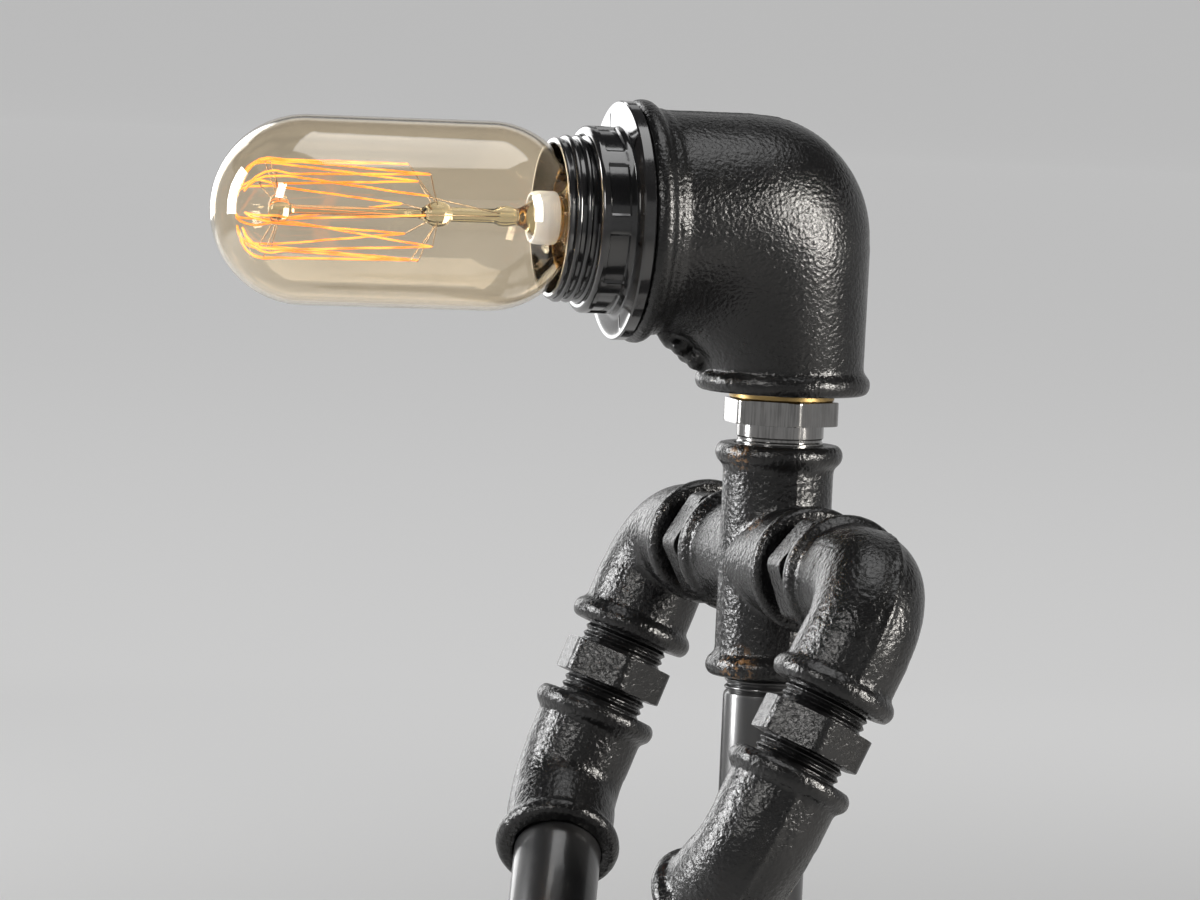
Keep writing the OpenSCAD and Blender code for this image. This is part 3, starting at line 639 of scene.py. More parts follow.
def grow(name, tree, values, material, place=None, seed=None):
    """Runs a geometry tree on a seed mesh and returns the result as a plain mesh."""
    holder = linked(name + "_seed", seed or bpy.data.meshes.new(name + "_seed"))
    modifier = holder.modifiers.new("Grow", "NODES")
    modifier.node_group = tree
    values = {**values, "Material": material}
    for item in tree.interface.items_tree:
        if item.in_out == "INPUT" and item.name in values:
            modifier[item.identifier] = values[item.name]
    settle(holder)
    mesh = holder.data
    mesh.name = name
    bpy.data.objects.remove(holder)
    if place:
        mesh.transform(place)
    return mesh


def thread_mesh(name, radius, pitch, length, crest, material, place):
    """Crest of a thread, lengths in mm."""
    values = {"Radius": radius * MM, "Turns": length / pitch, "Height": length * MM, "Crest": crest * MM}
    return grow(name, thread_tree(), values, material, place)


def edge_mesh(runs):
    """Mesh of bare edges along runs of points."""
    mesh = bpy.data.meshes.new("runs")
    verts = [p for run in runs for p in run]
    edges = []
    start = 0
    for run in runs:
        edges += [(start + k, start + k + 1) for k in range(len(run) - 1)]
        start += len(run)
    mesh.from_pydata([tuple(v) for v in verts], edges, [])
    return mesh


# ---- sizes and colours that a user would change ----

def length(name, words, default):
    """Property for a size or a number that is never negative."""
    return bpy.props.FloatProperty(name=name, description=words, default=default, min=0.0)


def colour(name, words, default):
    """Property for a colour."""
    return bpy.props.FloatVectorProperty(name=name, description=words, default=default, size=3,
                                         subtype="COLOR", min=0.0, max=1.0)


class LampSizes(bpy.types.PropertyGroup):
    """Sizes of the details, in millimetres."""
    skin: length("Skin", "Mesh step of the castings", 0.65)
    soften: bpy.props.IntProperty(name="Soften", description="Rounds of easing on the castings",
                                  default=7, min=1, max=40)
    pebble: length("Pebble", "Width of the pebbles on the castings", 1.1)
    pebble_height: length("Pebble height", "Height of the pebbles", 0.1)
    ridge: length("Parting line", "Radius of the castings' parting lines", 0.62)
    skirt_pitch: length("Skirt pitch", "Pitch of the thread on the lamp holder", 2.6)
    skirt_crest: length("Skirt crest", "Radius of that thread's crest", 0.85)
    cap_pitch: length("Cap pitch", "Pitch of the bulb cap's rolled thread", 3.6)
    filament: length("Filament", "Radius of the glowing wire", 0.25)
    support: length("Support", "Radius of the filament's supports", 0.13)
    loops: bpy.props.IntProperty(name="Loops", description="Loops of the filament round its cage",
                                 default=9, min=3, max=16)


class LampLooks(bpy.types.PropertyGroup):
    """Colours and finishes."""
    iron: colour("Iron", "Black paint of the castings", (0.004, 0.004, 0.0042))
    iron_worn: colour("Worn iron", "Thin places of that paint", (0.009, 0.0085, 0.008))
    iron_rough: length("Iron roughness", "Roughness of the castings", 0.19)
    grain_size: length("Grain", "Width of the castings' fine grain in mm", 1.0)
    grain_depth: length("Grain depth", "Depth of that grain in mm", 0.21)
    rust: colour("Rust", "Small rusty places", (0.13, 0.07, 0.03))
    pipe: colour("Pipe", "Smooth black pipe", (0.009, 0.009, 0.0095))
    nickel: colour("Nickel", "Polished neck", (0.27, 0.265, 0.26))
    brass: colour("Brass", "Brass parts", (0.72, 0.5, 0.2))
    phenolic: colour("Phenolic", "Lamp holder and shade ring", (0.006, 0.006, 0.0065))
    glass: colour("Glass", "Amber glass of the bulb", (0.94, 0.86, 0.73))
    stem: colour("Stem", "Glass of the stem", (0.95, 0.88, 0.64))
    white: colour("White", "Heat disc", (0.5, 0.6, 0.85))
    glow: colour("Glow", "Light of the filament", (1.0, 0.3, 0.045))
    glow_strength: length("Glow strength", "Strength of that light", 2.6)
    floor: colour("Floor", "Pale floor", (0.42, 0.42, 0.42))
    backdrop: colour("Backdrop", "Paleness that only the view of the floor gets", (0.46, 0.46, 0.46))


# ---- operators ----

class LampOperator:
    """What all the lamp's operators share."""
    bl_options = {"REGISTER", "UNDO"}


def elbow_ridge(centre, across, down):
    """Parting line round the outside of a right angle elbow.
    across points from the centre to the sideways port, down to the other port."""
    hub = centre + (across + down) * ELBOW_R * MM
    line = [centre + across * ELBOW_FACE * MM - down * BODY_R * MM]
    reach = (ELBOW_R + BODY_R) * MM
    for k in range(19):
        t = math.radians(90 * k / 18)
        line.append(hub - down * reach * math.cos(t) - across * reach * math.sin(t))
    line.append(centre + down * ELBOW_FACE * MM - across * BODY_R * MM)
    return line


def straight_ridge(centre, along, out, start, end):
    """Parting line along a straight barrel, just proud of it."""
    proud = BODY_R + 0.05
    return [centre + along * d * MM + out * proud * MM for d in (start, (start + end) / 2, end)]


def shoulder_centre(side):
    """Where the axes of the shoulder elbow meet."""
    return Vector((joint(side + "_elbow")["pos_m"][0], 0, middle("chest_cross").z))


def upper_arm(side):
    """From the shoulder elbow's centre to the arm bend's upper face."""
    return Vector(joint(side + "_elbow")["pos_m"]) - shoulder_centre(side)


def arm_down(side):
    """Direction of the upper arm."""
    return upper_arm(side).normalized()


def bend_centre(side):
    """Where the axes of the arm bend meet."""
    return shoulder_centre(side) + arm_down(side) * (upper_arm(side).length + ARM_BEND_REACH * MM)


def forearm_down(side):
    """Direction of the forearm."""
    return (middle(side + "_fist_cap") - bend_centre(side)).normalized()


class LAMP_OT_torso_castings(LampOperator, bpy.types.Operator):
    """Chest cross, hip cross and valve body as pebbled castings"""
    bl_idname = "lamp.torso_castings"
    bl_label = "Torso castings"

    def execute(self, context):
        thick = context.scene.lamp_sizes.ridge
        chest = middle("chest_cross")
        bead = high("chest_cross").z - chest.z
        rust = [(tuple(chest + Vector((0.0093, -0.0122, -bead + 0.003))), 0.0065),
                (tuple(chest + Vector((0.0077, -0.0132, bead - 0.003))), 0.0045),
                (tuple(chest + Vector((0.012, -0.012, 0.010))), 0.0045)]
        rusty = cast_iron_finish("cast_black_iron_chest", rust)
        for name, paint in (("chest_cross", rusty), ("hip_cross", finish("iron"))):
            centre = middle(name)
            lines = []
            for along, out in ((UP, LEFT), (LEFT, UP)):
                for a in (along, -along):
                    lines += [ridge(straight_ridge(centre, a, side, 13, 24), thick) for side in (out, -out)]
            cast_piece(name, "torso", lines, paint)
        cast_piece("valve_body", "torso", soften=4, name="valve_casting")
        return {"FINISHED"}


class LAMP_OT_limb_castings(LampOperator, bpy.types.Operator):
    """Elbows, bends, knee sockets and fists as pebbled castings"""
    bl_idname = "lamp.limb_castings"
    bl_label = "Limb castings"

    def execute(self, context):
        thick = context.scene.lamp_sizes.ridge
        for side, sign in SIDES:
            inward = LEFT * -sign
            down = arm_down(side)
            centre = shoulder_centre(side)
            line = ridge(elbow_ridge(centre, inward, down), thick)
            cast_piece(side + "_shoulder_elbow", side + "_upper_arm", [line])
            line = ridge(self.bend_line(bend_centre(side), down, forearm_down(side)), thick)
            cast_piece(side + "_arm_bend", side + "_forearm", [line])
            cast_piece(side + "_fist_cap", side + "_forearm")
            hip = Vector((middle(side + "_foot_flange").x, 0, middle("hip_cross").z))
            cast_piece(side + "_hip_elbow", "torso", [ridge(elbow_ridge(hip, inward, -UP), thick)])
            knee = Vector((hip.x, 0, 0))
            span = (low(side + "_knee_socket").z / MM + 4, high(side + "_knee_socket").z / MM - 4)
            lines = [ridge(straight_ridge(knee, UP, out, *span), thick) for out in (LEFT, -LEFT)]
            cast_piece(side + "_knee_socket", "torso", lines)
        return {"FINISHED"}

    @staticmethod
    def bend_line(centre, down, far):
        """Parting line round the outside of a 45 degree bend."""
        out = (down - far).normalized()
        flat_up = (out - out.project(down)).normalized()
        flat_far = (out - out.project(far)).normalized()
        face, hub_in, bend_r, proud = 17, 20.9, 19.3, BODY_R + 0.05
        hub = centre - out * hub_in * MM
        line = [centre - down * face * MM + flat_up * proud * MM]
        for k in range(9):
            lean = flat_up.lerp(flat_far, k / 8).normalized()
            line.append(hub + lean * (bend_r + BODY_R) * MM)
        return line + [centre + far * face * MM + flat_far * proud * MM]


class LAMP_OT_feet(LampOperator, bpy.types.Operator):
    """Round foot flanges: eased plate and hub over a flat underside"""
    bl_idname = "lamp.feet"
    bl_label = "Feet"

    def execute(self, context):
        for node in ("left_foot_flange", "right_foot_flange"):
            piece = as_cast(node + "_casting", [merged_copy(node)], soften=3)
            for vertex in piece.data.vertices:
                if vertex.co.z < 0.6 * MM:
                    vertex.co.z = 0.0
            dressed(piece, "torso", "black_iron", finish("iron"), node, crease=60)
        return {"FINISHED"}


class LAMP_OT_head(LampOperator, bpy.types.Operator):
    """Reducing elbow of the head, swept from its mouth to its neck"""
    bl_idname = "lamp.head"
    bl_label = "Head"

    mouth_r = 26.3
    neck_r = 19.2
    crown_r = 28.5
    mouth_face = 40.0
    mouth_bead_r = 29.0
    neck_bead_r = 21.0
    bead = 5.0
    steps = 72
    sides = 120

    def execute(self, context):
        place = mouth_place()
        self.neck_face = (low("head_elbow").z - place.translation.z) / MM
        body = self.sweep(place)
        mouth = self.bead_ring(self.mouth_bead_r, place @ Matrix.Translation((0, 0, self.mouth_face * MM)))
        under = axes_at(Vector((0, 0, low("head_elbow").z)), LEFT, -UP)
        neck = self.bead_ring(self.neck_bead_r, under)
        band = turned_mesh("band", [(0, 32.2), (26.8, 32.2), (27.0, 32.6), (27.0, 35.5), (0, 35.5)], place)
        middle_line = [place @ Vector((0, z * MM, w * MM)) for w, z in self.crown_line()]
        seam = ridge(middle_line, 0.5)
        way = turned_mesh("way", [(0, 0), (18, 0), (18, 24), (23, 24), (23, 45), (0, 45)], place)
        port = axes_at(Vector((0, 0, low("head_elbow").z - 0.001)), LEFT, UP)
        hole = turned_mesh("port", [(0, 0), (15, 0), (15, 40.7), (0, 40.7)], port)
        parts = [body, mouth, neck, band, seam] + self.flash(place)
        piece = as_cast("head_casting", parts, hollow=[self.fused([way, hole])])
        dressed(piece, "head", "black_iron", finish("head"), "head_elbow", crease=50)
        return {"FINISHED"}

    @staticmethod
    def flash(place):
        """Lumps that the casting left along the inside of its bend."""
        lumps = []
        for k in range(11):
            share = k / 10
            spot = Vector((1.5 * math.sin(5.1 * k), -26.6 - 6.6 * share, 29.2 - 8.2 * share)) * MM
            size = (2.3 + 0.4 * math.sin(3.7 * k)) * MM
            bm = bmesh.new()
            bmesh.ops.create_icosphere(bm, subdivisions=2, radius=size)
            lumps.append(ended("lump", bm, place @ Matrix.Translation(spot)))
        return lumps

    @staticmethod
    def fused(meshes):
        """Union of meshes that overlap, as one mesh."""
        first, second = [linked("fuse", mesh) for mesh in meshes]
        boolean(first, "Union", "UNION", "EXACT", second)
        settle(first)
        mesh = first.data
        bpy.data.objects.remove(first)
        bpy.data.objects.remove(second)
        return mesh

    def bead_ring(self, radius, place):
        """Round bead, as a solid disc, whose face lies at the place."""
        curl = 0.6 * self.bead
        rim = arc(radius - curl, -self.bead / 2, curl, -56, 56, 12)
        outline = [(0, -self.bead), (rim[0][0], -self.bead)] + rim + [(rim[-1][0], 0), (0, 0)]
        return turned_mesh("bead", outline, place, self.sides)

    def crown_centre(self):
        """Centre of the arc over the head's top and back, a little inside both."""
        return self.crown_r - self.neck_r + 0.2, self.mouth_r - self.crown_r - 0.2

    def crown_line(self):
        """Outline of the head's top and back in (forward, up) mm."""
        cw, cz = self.crown_centre()
        top = [(34.5, self.mouth_r), (22, self.mouth_r), (cw + 2, self.mouth_r - 0.1)]
        turn = [math.radians(90 * k / 16) for k in range(1, 16)]
        curve = [(cw - self.crown_r * math.sin(t), cz + self.crown_r * math.cos(t)) for t in turn]
        return top + curve + [(-self.neck_r, cz - 4), (-self.neck_r, self.neck_face + 5)]

    def sweep(self, place):
        """The head's body, as ellipses on planes that fan out from the inner corner."""
        pivot = (self.mouth_face - self.bead + 1, self.neck_face + self.bead - 1)
        rings = [self.section(90 * k / self.steps, pivot) for k in range(self.steps + 1)]
        bm = bmesh.new()
        made = skinned(bm, [[place @ (Vector(p) * MM) for p in ring] for ring in rings])
        bm.faces.new(made[0])
        bm.faces.new(made[-1])
        bmesh.ops.recalc_face_normals(bm, faces=bm.faces)
        return ended("sweep", bm)

    def section(self, degrees, pivot):
        """Ellipse of the head's body on a plane through the pivot at this angle from upright."""
        a = math.radians(degrees)
        pw, pz = pivot
        cw, cz = self.crown_centre()
        top = (self.mouth_r - pz) / max(math.cos(a), 0.001)
        back = (pw + self.neck_r) / max(math.sin(a), 0.001)
        ow, oz = pw - cw, pz - cz
        b = -ow * math.sin(a) + oz * math.cos(a)
        far = -b + math.sqrt(max(0.0, b * b - (ow * ow + oz * oz - self.crown_r ** 2)))
        if pw - top * math.sin(a) > cw:
            far = top
        elif pz + back * math.cos(a) < cz:
            far = back
        first = -self.mouth_r - pz
        spread = pw - self.neck_r - first
        near = first + spread * (1 - math.cos(a)) * 0.35 + spread * 0.65 * degrees / 90
        mid, half = (far + near) / 2, (far - near) / 2
        wide = self.mouth_r + (self.neck_r - self.mouth_r) * (1 - math.cos(a))
        ring = []
        for k in range(self.sides):
            t = 2 * math.pi * k / self.sides
            d = mid + half * math.cos(t)
            ring.append((wide * math.sin(t), pz + d * math.cos(a), pw - d * math.sin(a)))
        return ring


class LAMP_OT_nipples(LampOperator, bpy.types.Operator):
    """Hex nipples of the shoulders, arms, waist, hips and thighs"""
    bl_idname = "lamp.nipples"
    bl_label = "Nipples"

    def execute(self, context):
        short, long = 17.7, 18.3
        self.nipple("left_shoulder_nipple", "torso", -UP, LEFT, short, 20)
        self.nipple("left_hip_nipple", "torso", -UP, LEFT, short, 30)
        self.nipple("left_arm_nipple", "left_upper_arm", LEFT, -arm_down("left"), long, -9)
        self.nipple("left_thigh_nipple", "torso", LEFT, UP, long, 15)
        self.nipple("right_shoulder_nipple", "torso", -UP, -LEFT, short, -28)
        self.nipple("right_hip_nipple", "torso", -UP, -LEFT, short, -20)
        self.nipple("right_arm_nipple", "right_upper_arm", -LEFT, -arm_down("right"), long, -8)
        self.nipple("right_thigh_nipple", "torso", -LEFT, UP, long, -15)
        self.nipple("waist_nipple", "torso", LEFT, UP, short, 0)
        return {"FINISHED"}

    def nipple(self, node, body, across, along, gap, turn):
        """One nipple, whose hexagon is turned by some degrees; gap lies between its fittings."""
        half = gap / 2 + SCREWED_IN
        hex_half = 4.15
        place = axes_at(middle(node), across, along) @ Matrix.Rotation(math.radians(turn), 4, "Z")
        outline = [(BORE_R, -half), (THREAD_R - 0.6, -half), (THREAD_R, -half + 0.6)]
        outline += self.waves(-gap / 2, -hex_half - 0.1)
        outline += hex_rings(HEX_FLATS, -hex_half, 2 * hex_half)
        outline += self.waves(hex_half + 0.1, gap / 2)
        outline += [(THREAD_R, half - 0.6), (THREAD_R - 0.6, half), (BORE_R, half)]
        turned_piece(node + "_turned", outline, place, 120, body, "black_iron", "iron", node)

    @staticmethod
    def waves(start, end):
        """Thread that shows between the hexagon and the fitting."""
        count = int((end - start) / THREAD_PITCH * 10)
        steps = [start + (end - start) * k / count for k in range(count + 1)]
        return [(THREAD_R - 0.35 + 0.33 * math.cos(2 * math.pi * (h - start) / THREAD_PITCH), h)
                for h in steps]


class LAMP_OT_neck(LampOperator, bpy.types.Operator):
    """Polished hex nipple of the neck and the brass bush under the head"""
    bl_idname = "lamp.neck"
    bl_label = "Neck"

    def execute(self, context):
        low_z = high("chest_cross").z / MM
        top_z = low("head_elbow").z / MM
        hex_l = 5.7
        above = 1.75
        start = top_z - above - hex_l
        outline = [(BORE_R, low_z - 13), (10.0, low_z - 13), (THREAD_R, low_z - 12.4),
                   (THREAD_R, low_z + 0.4), (10.1, low_z + 0.8), (10.1, low_z + 1.3),
                   (10.45, low_z + 1.7), (10.45, start - 0.2)]
        outline += hex_rings(HEX_FLATS, start, hex_l, 0.9)
        outline += [(THREAD_R, start + hex_l), (THREAD_R, top_z + 12.4), (10.0, top_z + 13),
                    (BORE_R, top_z + 13)]
        turn = Matrix.Rotation(math.radians(56), 4, "Z")
        turned_piece("neck_turned", outline, turn, 120, "torso", "nickel", "nickel", "neck_nipple")
        rim = top_z - above + 0.05
        bush = [(10.53, rim), (12.2, rim), (12.6, rim + 0.4), (12.6, top_z - 0.5), (12.9, top_z + 0.1),
                (14.9, top_z + 0.3), (14.9, top_z + 14.5), (14.4, top_z + 15), (10.53, top_z + 15)]
        turned_piece("bush_turned", bush, Matrix.Identity(4), 96, "head", "brass", "bush", "neck_bush")
        return {"FINISHED"}


class LAMP_OT_pipes(LampOperator, bpy.types.Operator):
    """Spine, forearm and shin pipes with eased ends"""
    bl_idname = "lamp.pipes"
    bl_label = "Pipes"

    def execute(self, context):
        shown_thread, forearm = 3.6, 30
        self.upright("spine_pipe", 0, shown_thread)
        for side in ("left", "right"):
            self.upright(side + "_shin_pipe", middle(side + "_shin_pipe").x, 0)
            far = forearm_down(side)
            start = bend_centre(side) + far * (ARM_BEND_REACH - SCREWED_IN) * MM
            self.pipe(side + "_forearm_pipe", side + "_forearm", axes_at(start, LEFT, far), forearm, 0)
        return {"FINISHED"}

    def upright(self, node, x, thread):
        """Pipe that stands in the torso, as long as its node."""
        shown = (high(node).z - low(node).z) / MM - 2 * SCREWED_IN
        self.pipe(node, "torso", axes_at(Vector((x, 0, low(node).z)), LEFT, UP), shown, thread)

    @staticmethod
    def pipe(node, body, place, shown, thread):
        """Pipe with its lower male end first; shown is the length between the fittings."""
        end = SCREWED_IN + shown
        lip = end - thread
        outline = [(BORE_R, 0), (10.0, 0), (THREAD_R, 0.6), (THREAD_R, 12.9), (PIPE_R, 13.1),
                   (PIPE_R, lip - 1.3), (10.5, lip - 0.5), (10.1, lip)]
        count = 20 if thread else 0
        for k in range(1, count):
            h = lip + thread * k / count
            outline.append((10.1 - 0.36 * math.cos(2 * math.pi * (h - lip) / THREAD_PITCH), h))
        outline += [(THREAD_R, end + 0.2), (THREAD_R, end + 12.4), (10.0, end + 13), (BORE_R, end + 13)]
        turned_piece(node + "_drawn", outline, place, 96, body, "black_pipe", "pipe", node)


class LAMP_OT_holder(LampOperator, bpy.types.Operator):
    """Lamp holder with its threaded skirt, and the shade ring on it"""
    bl_idname = "lamp.holder"
    bl_label = "Lamp holder"

    def execute(self, context):
        sizes = context.scene.lamp_sizes
        place = mouth_place()
        rim, root, thread_start, run_out = 58.9, 19.0, 51.2, 1.4
        outline = [(0, 20), (17, 20), (17.5, 20.5), (17.5, 33), (22.6, 33), (22.95, 33.4), (22.95, 39.6),
                   (22.6, 40), (root + 0.9, 40), (root + 0.9, thread_start), (root, 51.8),
                   (root, rim - 0.9)]
        outline += arc(root - 0.3, rim - 0.5, 0.5, 0, 90, 4)
        outline += arc(18.1, rim - 0.4, 0.4, 90, 180, 4)
        outline += [(17.7, 47.6), (14.0, 47.6), (14.0, 27.5), (0, 27.5)]
        core = turned_mesh("core", outline, place, 128)
        thread_place = place @ Matrix.Translation((0, 0, thread_start * MM))
        thread = thread_mesh("thread", root + 0.05, sizes.skirt_pitch, rim - thread_start - run_out,
                             sizes.skirt_crest, finish("phenolic"), thread_place)
        piece = linked("holder_moulding", joined("holder_moulding", [core, thread]))
        dressed(piece, "head", "phenolic", finish("phenolic"), "lamp_holder", crease=40)
        self.ring(place)
        return {"FINISHED"}

    @staticmethod
    def ring(place):
        """Shade ring: a slotted flange and a collar with sunk grip panels."""
        collar_r, panels = 22.25, 8

        def collar(depth):
            """Radius of the collar over the angle, its panels sunk by a depth."""
            def radius(a):
                lean = (a / (2 * math.pi) * panels) % 1.0
                edge = min(lean, 1 - lean)
                sunk = min(1.0, max(0.0, (edge - 0.12) / 0.03))
                return collar_r - depth * sunk
            return radius

        outline = [(19.95, 40.06), (28.0, 40.06), (28.4, 40.4), (28.4, 42.6), (28.1, 43.0), (22.9, 43.05),
                   (22.4, 43.3), (collar_r, 43.8), (collar(0.0), 44.6)]
        outline += [(collar(0.55), h) for h in (44.9, 45.5, 46.5, 47.5, 48.5, 49.3)]
        outline += [(collar(0.0), 49.6), (collar_r, 50.4)]
        outline += arc(21.05, 50.5, 1.2, 0, 90, 6) + [(20.3, 51.7), (19.95, 51.4)]
        piece = linked("shade_ring_moulding", turned_mesh("shade_ring_moulding", outline, place, 256))
        slots = []
        for k in range(6):
            turn = Matrix.Rotation(math.radians(90 + 20 + 60 * k), 4, "Z")
            spot = place @ turn @ Matrix.Translation((24.9 * MM, 0, 41.6 * MM))
            bm = bmesh.new()
            bmesh.ops.create_cube(bm, size=1.0)
            bmesh.ops.scale(bm, vec=Vector((3.4, 0.8, 6)) * MM, verts=bm.verts)
            slots.append(ended("slot", bm, spot))
        cutter = linked("slots", joined("slots", slots))
        boolean(piece, "Slots", "DIFFERENCE", "EXACT", cutter)
        settle(piece)
        bpy.data.objects.remove(cutter)
        dressed(piece, "head", "phenolic", finish("phenolic"), "shade_ring", crease=30)


def bulb_marks():
    """The glass's radius and the distances of the bulb's marks from the neck axis, in mm."""
    radius = (high("bulb_glass").z - low("bulb_glass").z) / 2 / MM
    forward = mouth_place().to_3x3().col[2]
    dome = (-low("bulb_glass").y / MM - radius) / -forward.y
    tip = dome + radius
    end = tip - 110
    return SimpleNamespace(radius=radius, dome=dome, end=end, rear=end + 43.45, disc=end + 27,
                           rear_hub=end + 56, front_hub=tip - 16, hooks=(end + 60.5, tip - 13.2))


class LAMP_OT_bulb(LampOperator, bpy.types.Operator):
    """Tubular glass, its stem, heat disc and cap"""
    bl_idname = "lamp.bulb"
    bl_label = "Bulb"

    def execute(self, context):
        place = mouth_place()
        m = bulb_marks()
        r, rear, dome = m.radius, m.rear, m.dome
        wall, neck = 0.9, 12.2
        meet = rear - math.sqrt(r * r - neck * neck)
        lip = meet - 8.1
        start = math.degrees(math.asin((meet - rear) / r))
        outer = [(neck, lip), (neck, meet - 0.4)] + arc(0, rear, r, start, 0, 22)
        outer += arc(0, dome, r, 0, 90, 30)[:-1] + [(0, dome + r)]
        inner_r = r - wall
        inner_neck = neck - wall
        meet_in = rear - math.sqrt(inner_r ** 2 - inner_neck ** 2)
        begin = math.degrees(math.asin((meet_in - rear) / inner_r))
        inner = [(0, dome + inner_r)] + arc(0, dome, inner_r, 90, 0, 30)[1:]
        inner += arc(0, rear, inner_r, 0, begin, 22) + [(inner_neck, lip)]
        piece = linked("glass_tube", self.shell(outer, inner, place))
        dressed(piece, "bulb", "amber_glass", finish("glass"), "bulb_glass", crease=60)
        turned_piece("stem_drawn", self.stem(m, lip), place, 48, "bulb", "stem_glass", "stem",
                     "glass_stem", 60)
        back = m.disc
        cup = [(5.3, back), (6.2, back), (6.4, back + 0.4), (6.4, back + 4.0), (6.25, back + 5.2),
               (5.9, back + 5.9), (5.5, back + 6.0), (5.3, back + 5.8)]
        turned_piece("heat_cup", cup, place, 64, "bulb", "white_ceramic", "white", "heat_disc", 40)
        cap = self.cap(m.end + 3.8, meet, context.scene.lamp_sizes.cap_pitch)
        turned_piece("cap_rolled", cap, place, 96, "bulb", "brass", "cap", "bulb_cap", 40)
        return {"FINISHED"}

    @staticmethod
    def shell(outer, inner, place):
        """Glass wall between an outer and an inner line that both meet the axis."""
        bm = gathered([turned_half(line, place) for line in (outer, inner)])
        bmesh.ops.remove_doubles(bm, verts=bm.verts, dist=1e-7)
        bmesh.ops.bridge_loops(bm, edges=[e for e in bm.edges if e.is_boundary])
        bmesh.ops.recalc_face_normals(bm, faces=bm.faces)
        return ended("glass_tube", bm)

    @staticmethod
    def stem(m, lip):
        """Outline of the stem: foot, neck in the heat disc, rod, rear hub and front hub."""
        foot = [(0, lip + 3.9), (11.1, lip + 3.9), (11.15, lip + 4.6)]
        parts = ((m.disc, ((9.0, -4), (6.0, -2), (5.1, 0), (5.0, 3), (4.4, 5.4), (3.2, 7), (2.3, 8.4),
                           (1.9, 9.4), (2.2, 10.6), (2.5, 12), (2.35, 13.6), (1.75, 14.8))),
                 (m.disc + 6 + 9.5, ((1.7, 1.5), (1.75, 3), (1.75, 5), (1.75, 7), (1.75, 9))),
                 (m.rear_hub, ((1.7, -3.6), (2.2, -3.0), (2.9, -1.8), (3.1, -0.4), (2.9, 1.0),
                               (2.2, 2.2), (1.5, 3.2), (1.1, 4.4))),
                 (m.front_hub, ((1.05, -4), (1.4, -2.6), (3.0, -1.8), (3.4, -1), (3.4, 0.8),
                                (3.0, 1.6), (1.6, 2.2), (0, 2.4))))
        return foot + [(radius, start + height) for start, line in parts for radius, height in line]

    @staticmethod
    def cap(back, meet, pitch):
        """Outline of the brass cap with the rolled thread that its holder takes."""
        front = meet - 0.1
        lead, lip, count = 3.0, 4.5, 60
        rolls = []
        for k in range(count + 1):
            h = back + lead + (front - lip - back - lead) * k / count
            rolls.append((12.55 + 0.5 * math.cos(2 * math.pi * (h - back) / pitch), h))
        outline = [(8.0, back), (9.5, back), (11.6, back + 0.8), (12.3, back + 1.8)] + rolls
        return outline + [(12.9, front - 3.6), (13.05, front - 2.4), (13.05, front - 0.3), (12.8, front),
                          (12.3, front), (12.3, meet - 8.4), (11.0, meet - 8.6), (11.0, back + 2.2),
                          (8.0, back + 1.2)]


class LAMP_OT_filament(LampOperator, bpy.types.Operator):
    """Glowing filament on its cage of supports"""
    bl_idname = "lamp.filament"
    bl_label = "Filament"

    def execute(self, context):
        sizes = context.scene.lamp_sizes
        m = bulb_marks()
        cage = 11.7
        rear, front = m.hooks
        count = 2 * sizes.loops + 1
        hooks = []
        for k in range(count):
            t = 2 * math.pi * (k + 0.3 * math.sin(2.3 * k)) / count + 0.4
            h = front if k % 2 else rear + 2.2 * math.sin(1.9 * k)
            hooks.append(Vector((cage * math.cos(t), cage * math.sin(t), h)) * MM)
        run = []
        for k, hook in enumerate(hooks):
            if k % 2 == 0:
                run.append(hook)
                continue
            for lean in (-1, 1):
                if 0 <= k + lean < count:
                    side = [hook.lerp(hooks[k + lean], s) for s in (0.75, 0.5, 0.25, 0.1)]
                    bow = [self.bowed(hook, lean, s) for s in (0.0, 0.25, 0.5, 0.75, 1.0)]
                    run += side + bow if lean < 0 else bow[::-1][1:] + side[::-1]
        self.wires("filament_wire", [run], sizes.filament, 0.6, 0.35, "glow", "glowing_wire", "filament")
        runs = []
        for k, hook in enumerate(hooks[1:-1], 1):
            hub = (m.front_hub if k % 2 else m.rear_hub) * MM
            flat = Vector((hook.x, hook.y, 0))
            root = flat * 0.22 + Vector((0, 0, hub))
            curl = flat * 1.04 + Vector((0, 0, hook.z - (0.6 if k % 2 else -0.6) * MM))
            runs.append([root, flat * 0.6 + Vector((0, 0, hub * 0.5 + hook.z * 0.5)), hook, curl])
        lead = (m.disc + 14) * MM
        for k in (0, count - 1):
            flat = Vector((hooks[k].x, hooks[k].y, 0))
            runs.append([flat * 0.15 + Vector((0, 0, lead)), flat * 0.98 + Vector((0, 0, hooks[k].z))])
        self.wires("cage_wires", runs, sizes.support, 0.8, 0.25, "wire", "support_wire",
                   "filament_supports")
        return {"FINISHED"}

    @staticmethod
    def wires(name, runs, radius, step, wander, paint, slot, node):
        """Wire of a radius along runs of points, with a point at each step; lengths in mm."""
        values = {"Radius": radius * MM, "Step": step * MM, "Wander": wander * MM}
        mesh = grow(name, wire_tree(), values, finish(paint), mouth_place(), edge_mesh(runs))
        dressed(linked(name, mesh), "bulb", slot, None, node, crease=180)

    @staticmethod
    def bowed(hook, lean, share):
        """Point on the bow in which a strand curves inward past its front hook."""
        turn = math.radians(85 * share)
        flat = Vector((hook.x, hook.y, 0)) * (0.42 + 0.6 * math.cos(turn))
        across = Vector((-hook.y, hook.x, 0)).normalized() * lean * (1 - share) * 0.9 * MM
        return flat + across + Vector((0, 0, hook.z + 6.2 * MM * math.sin(turn)))


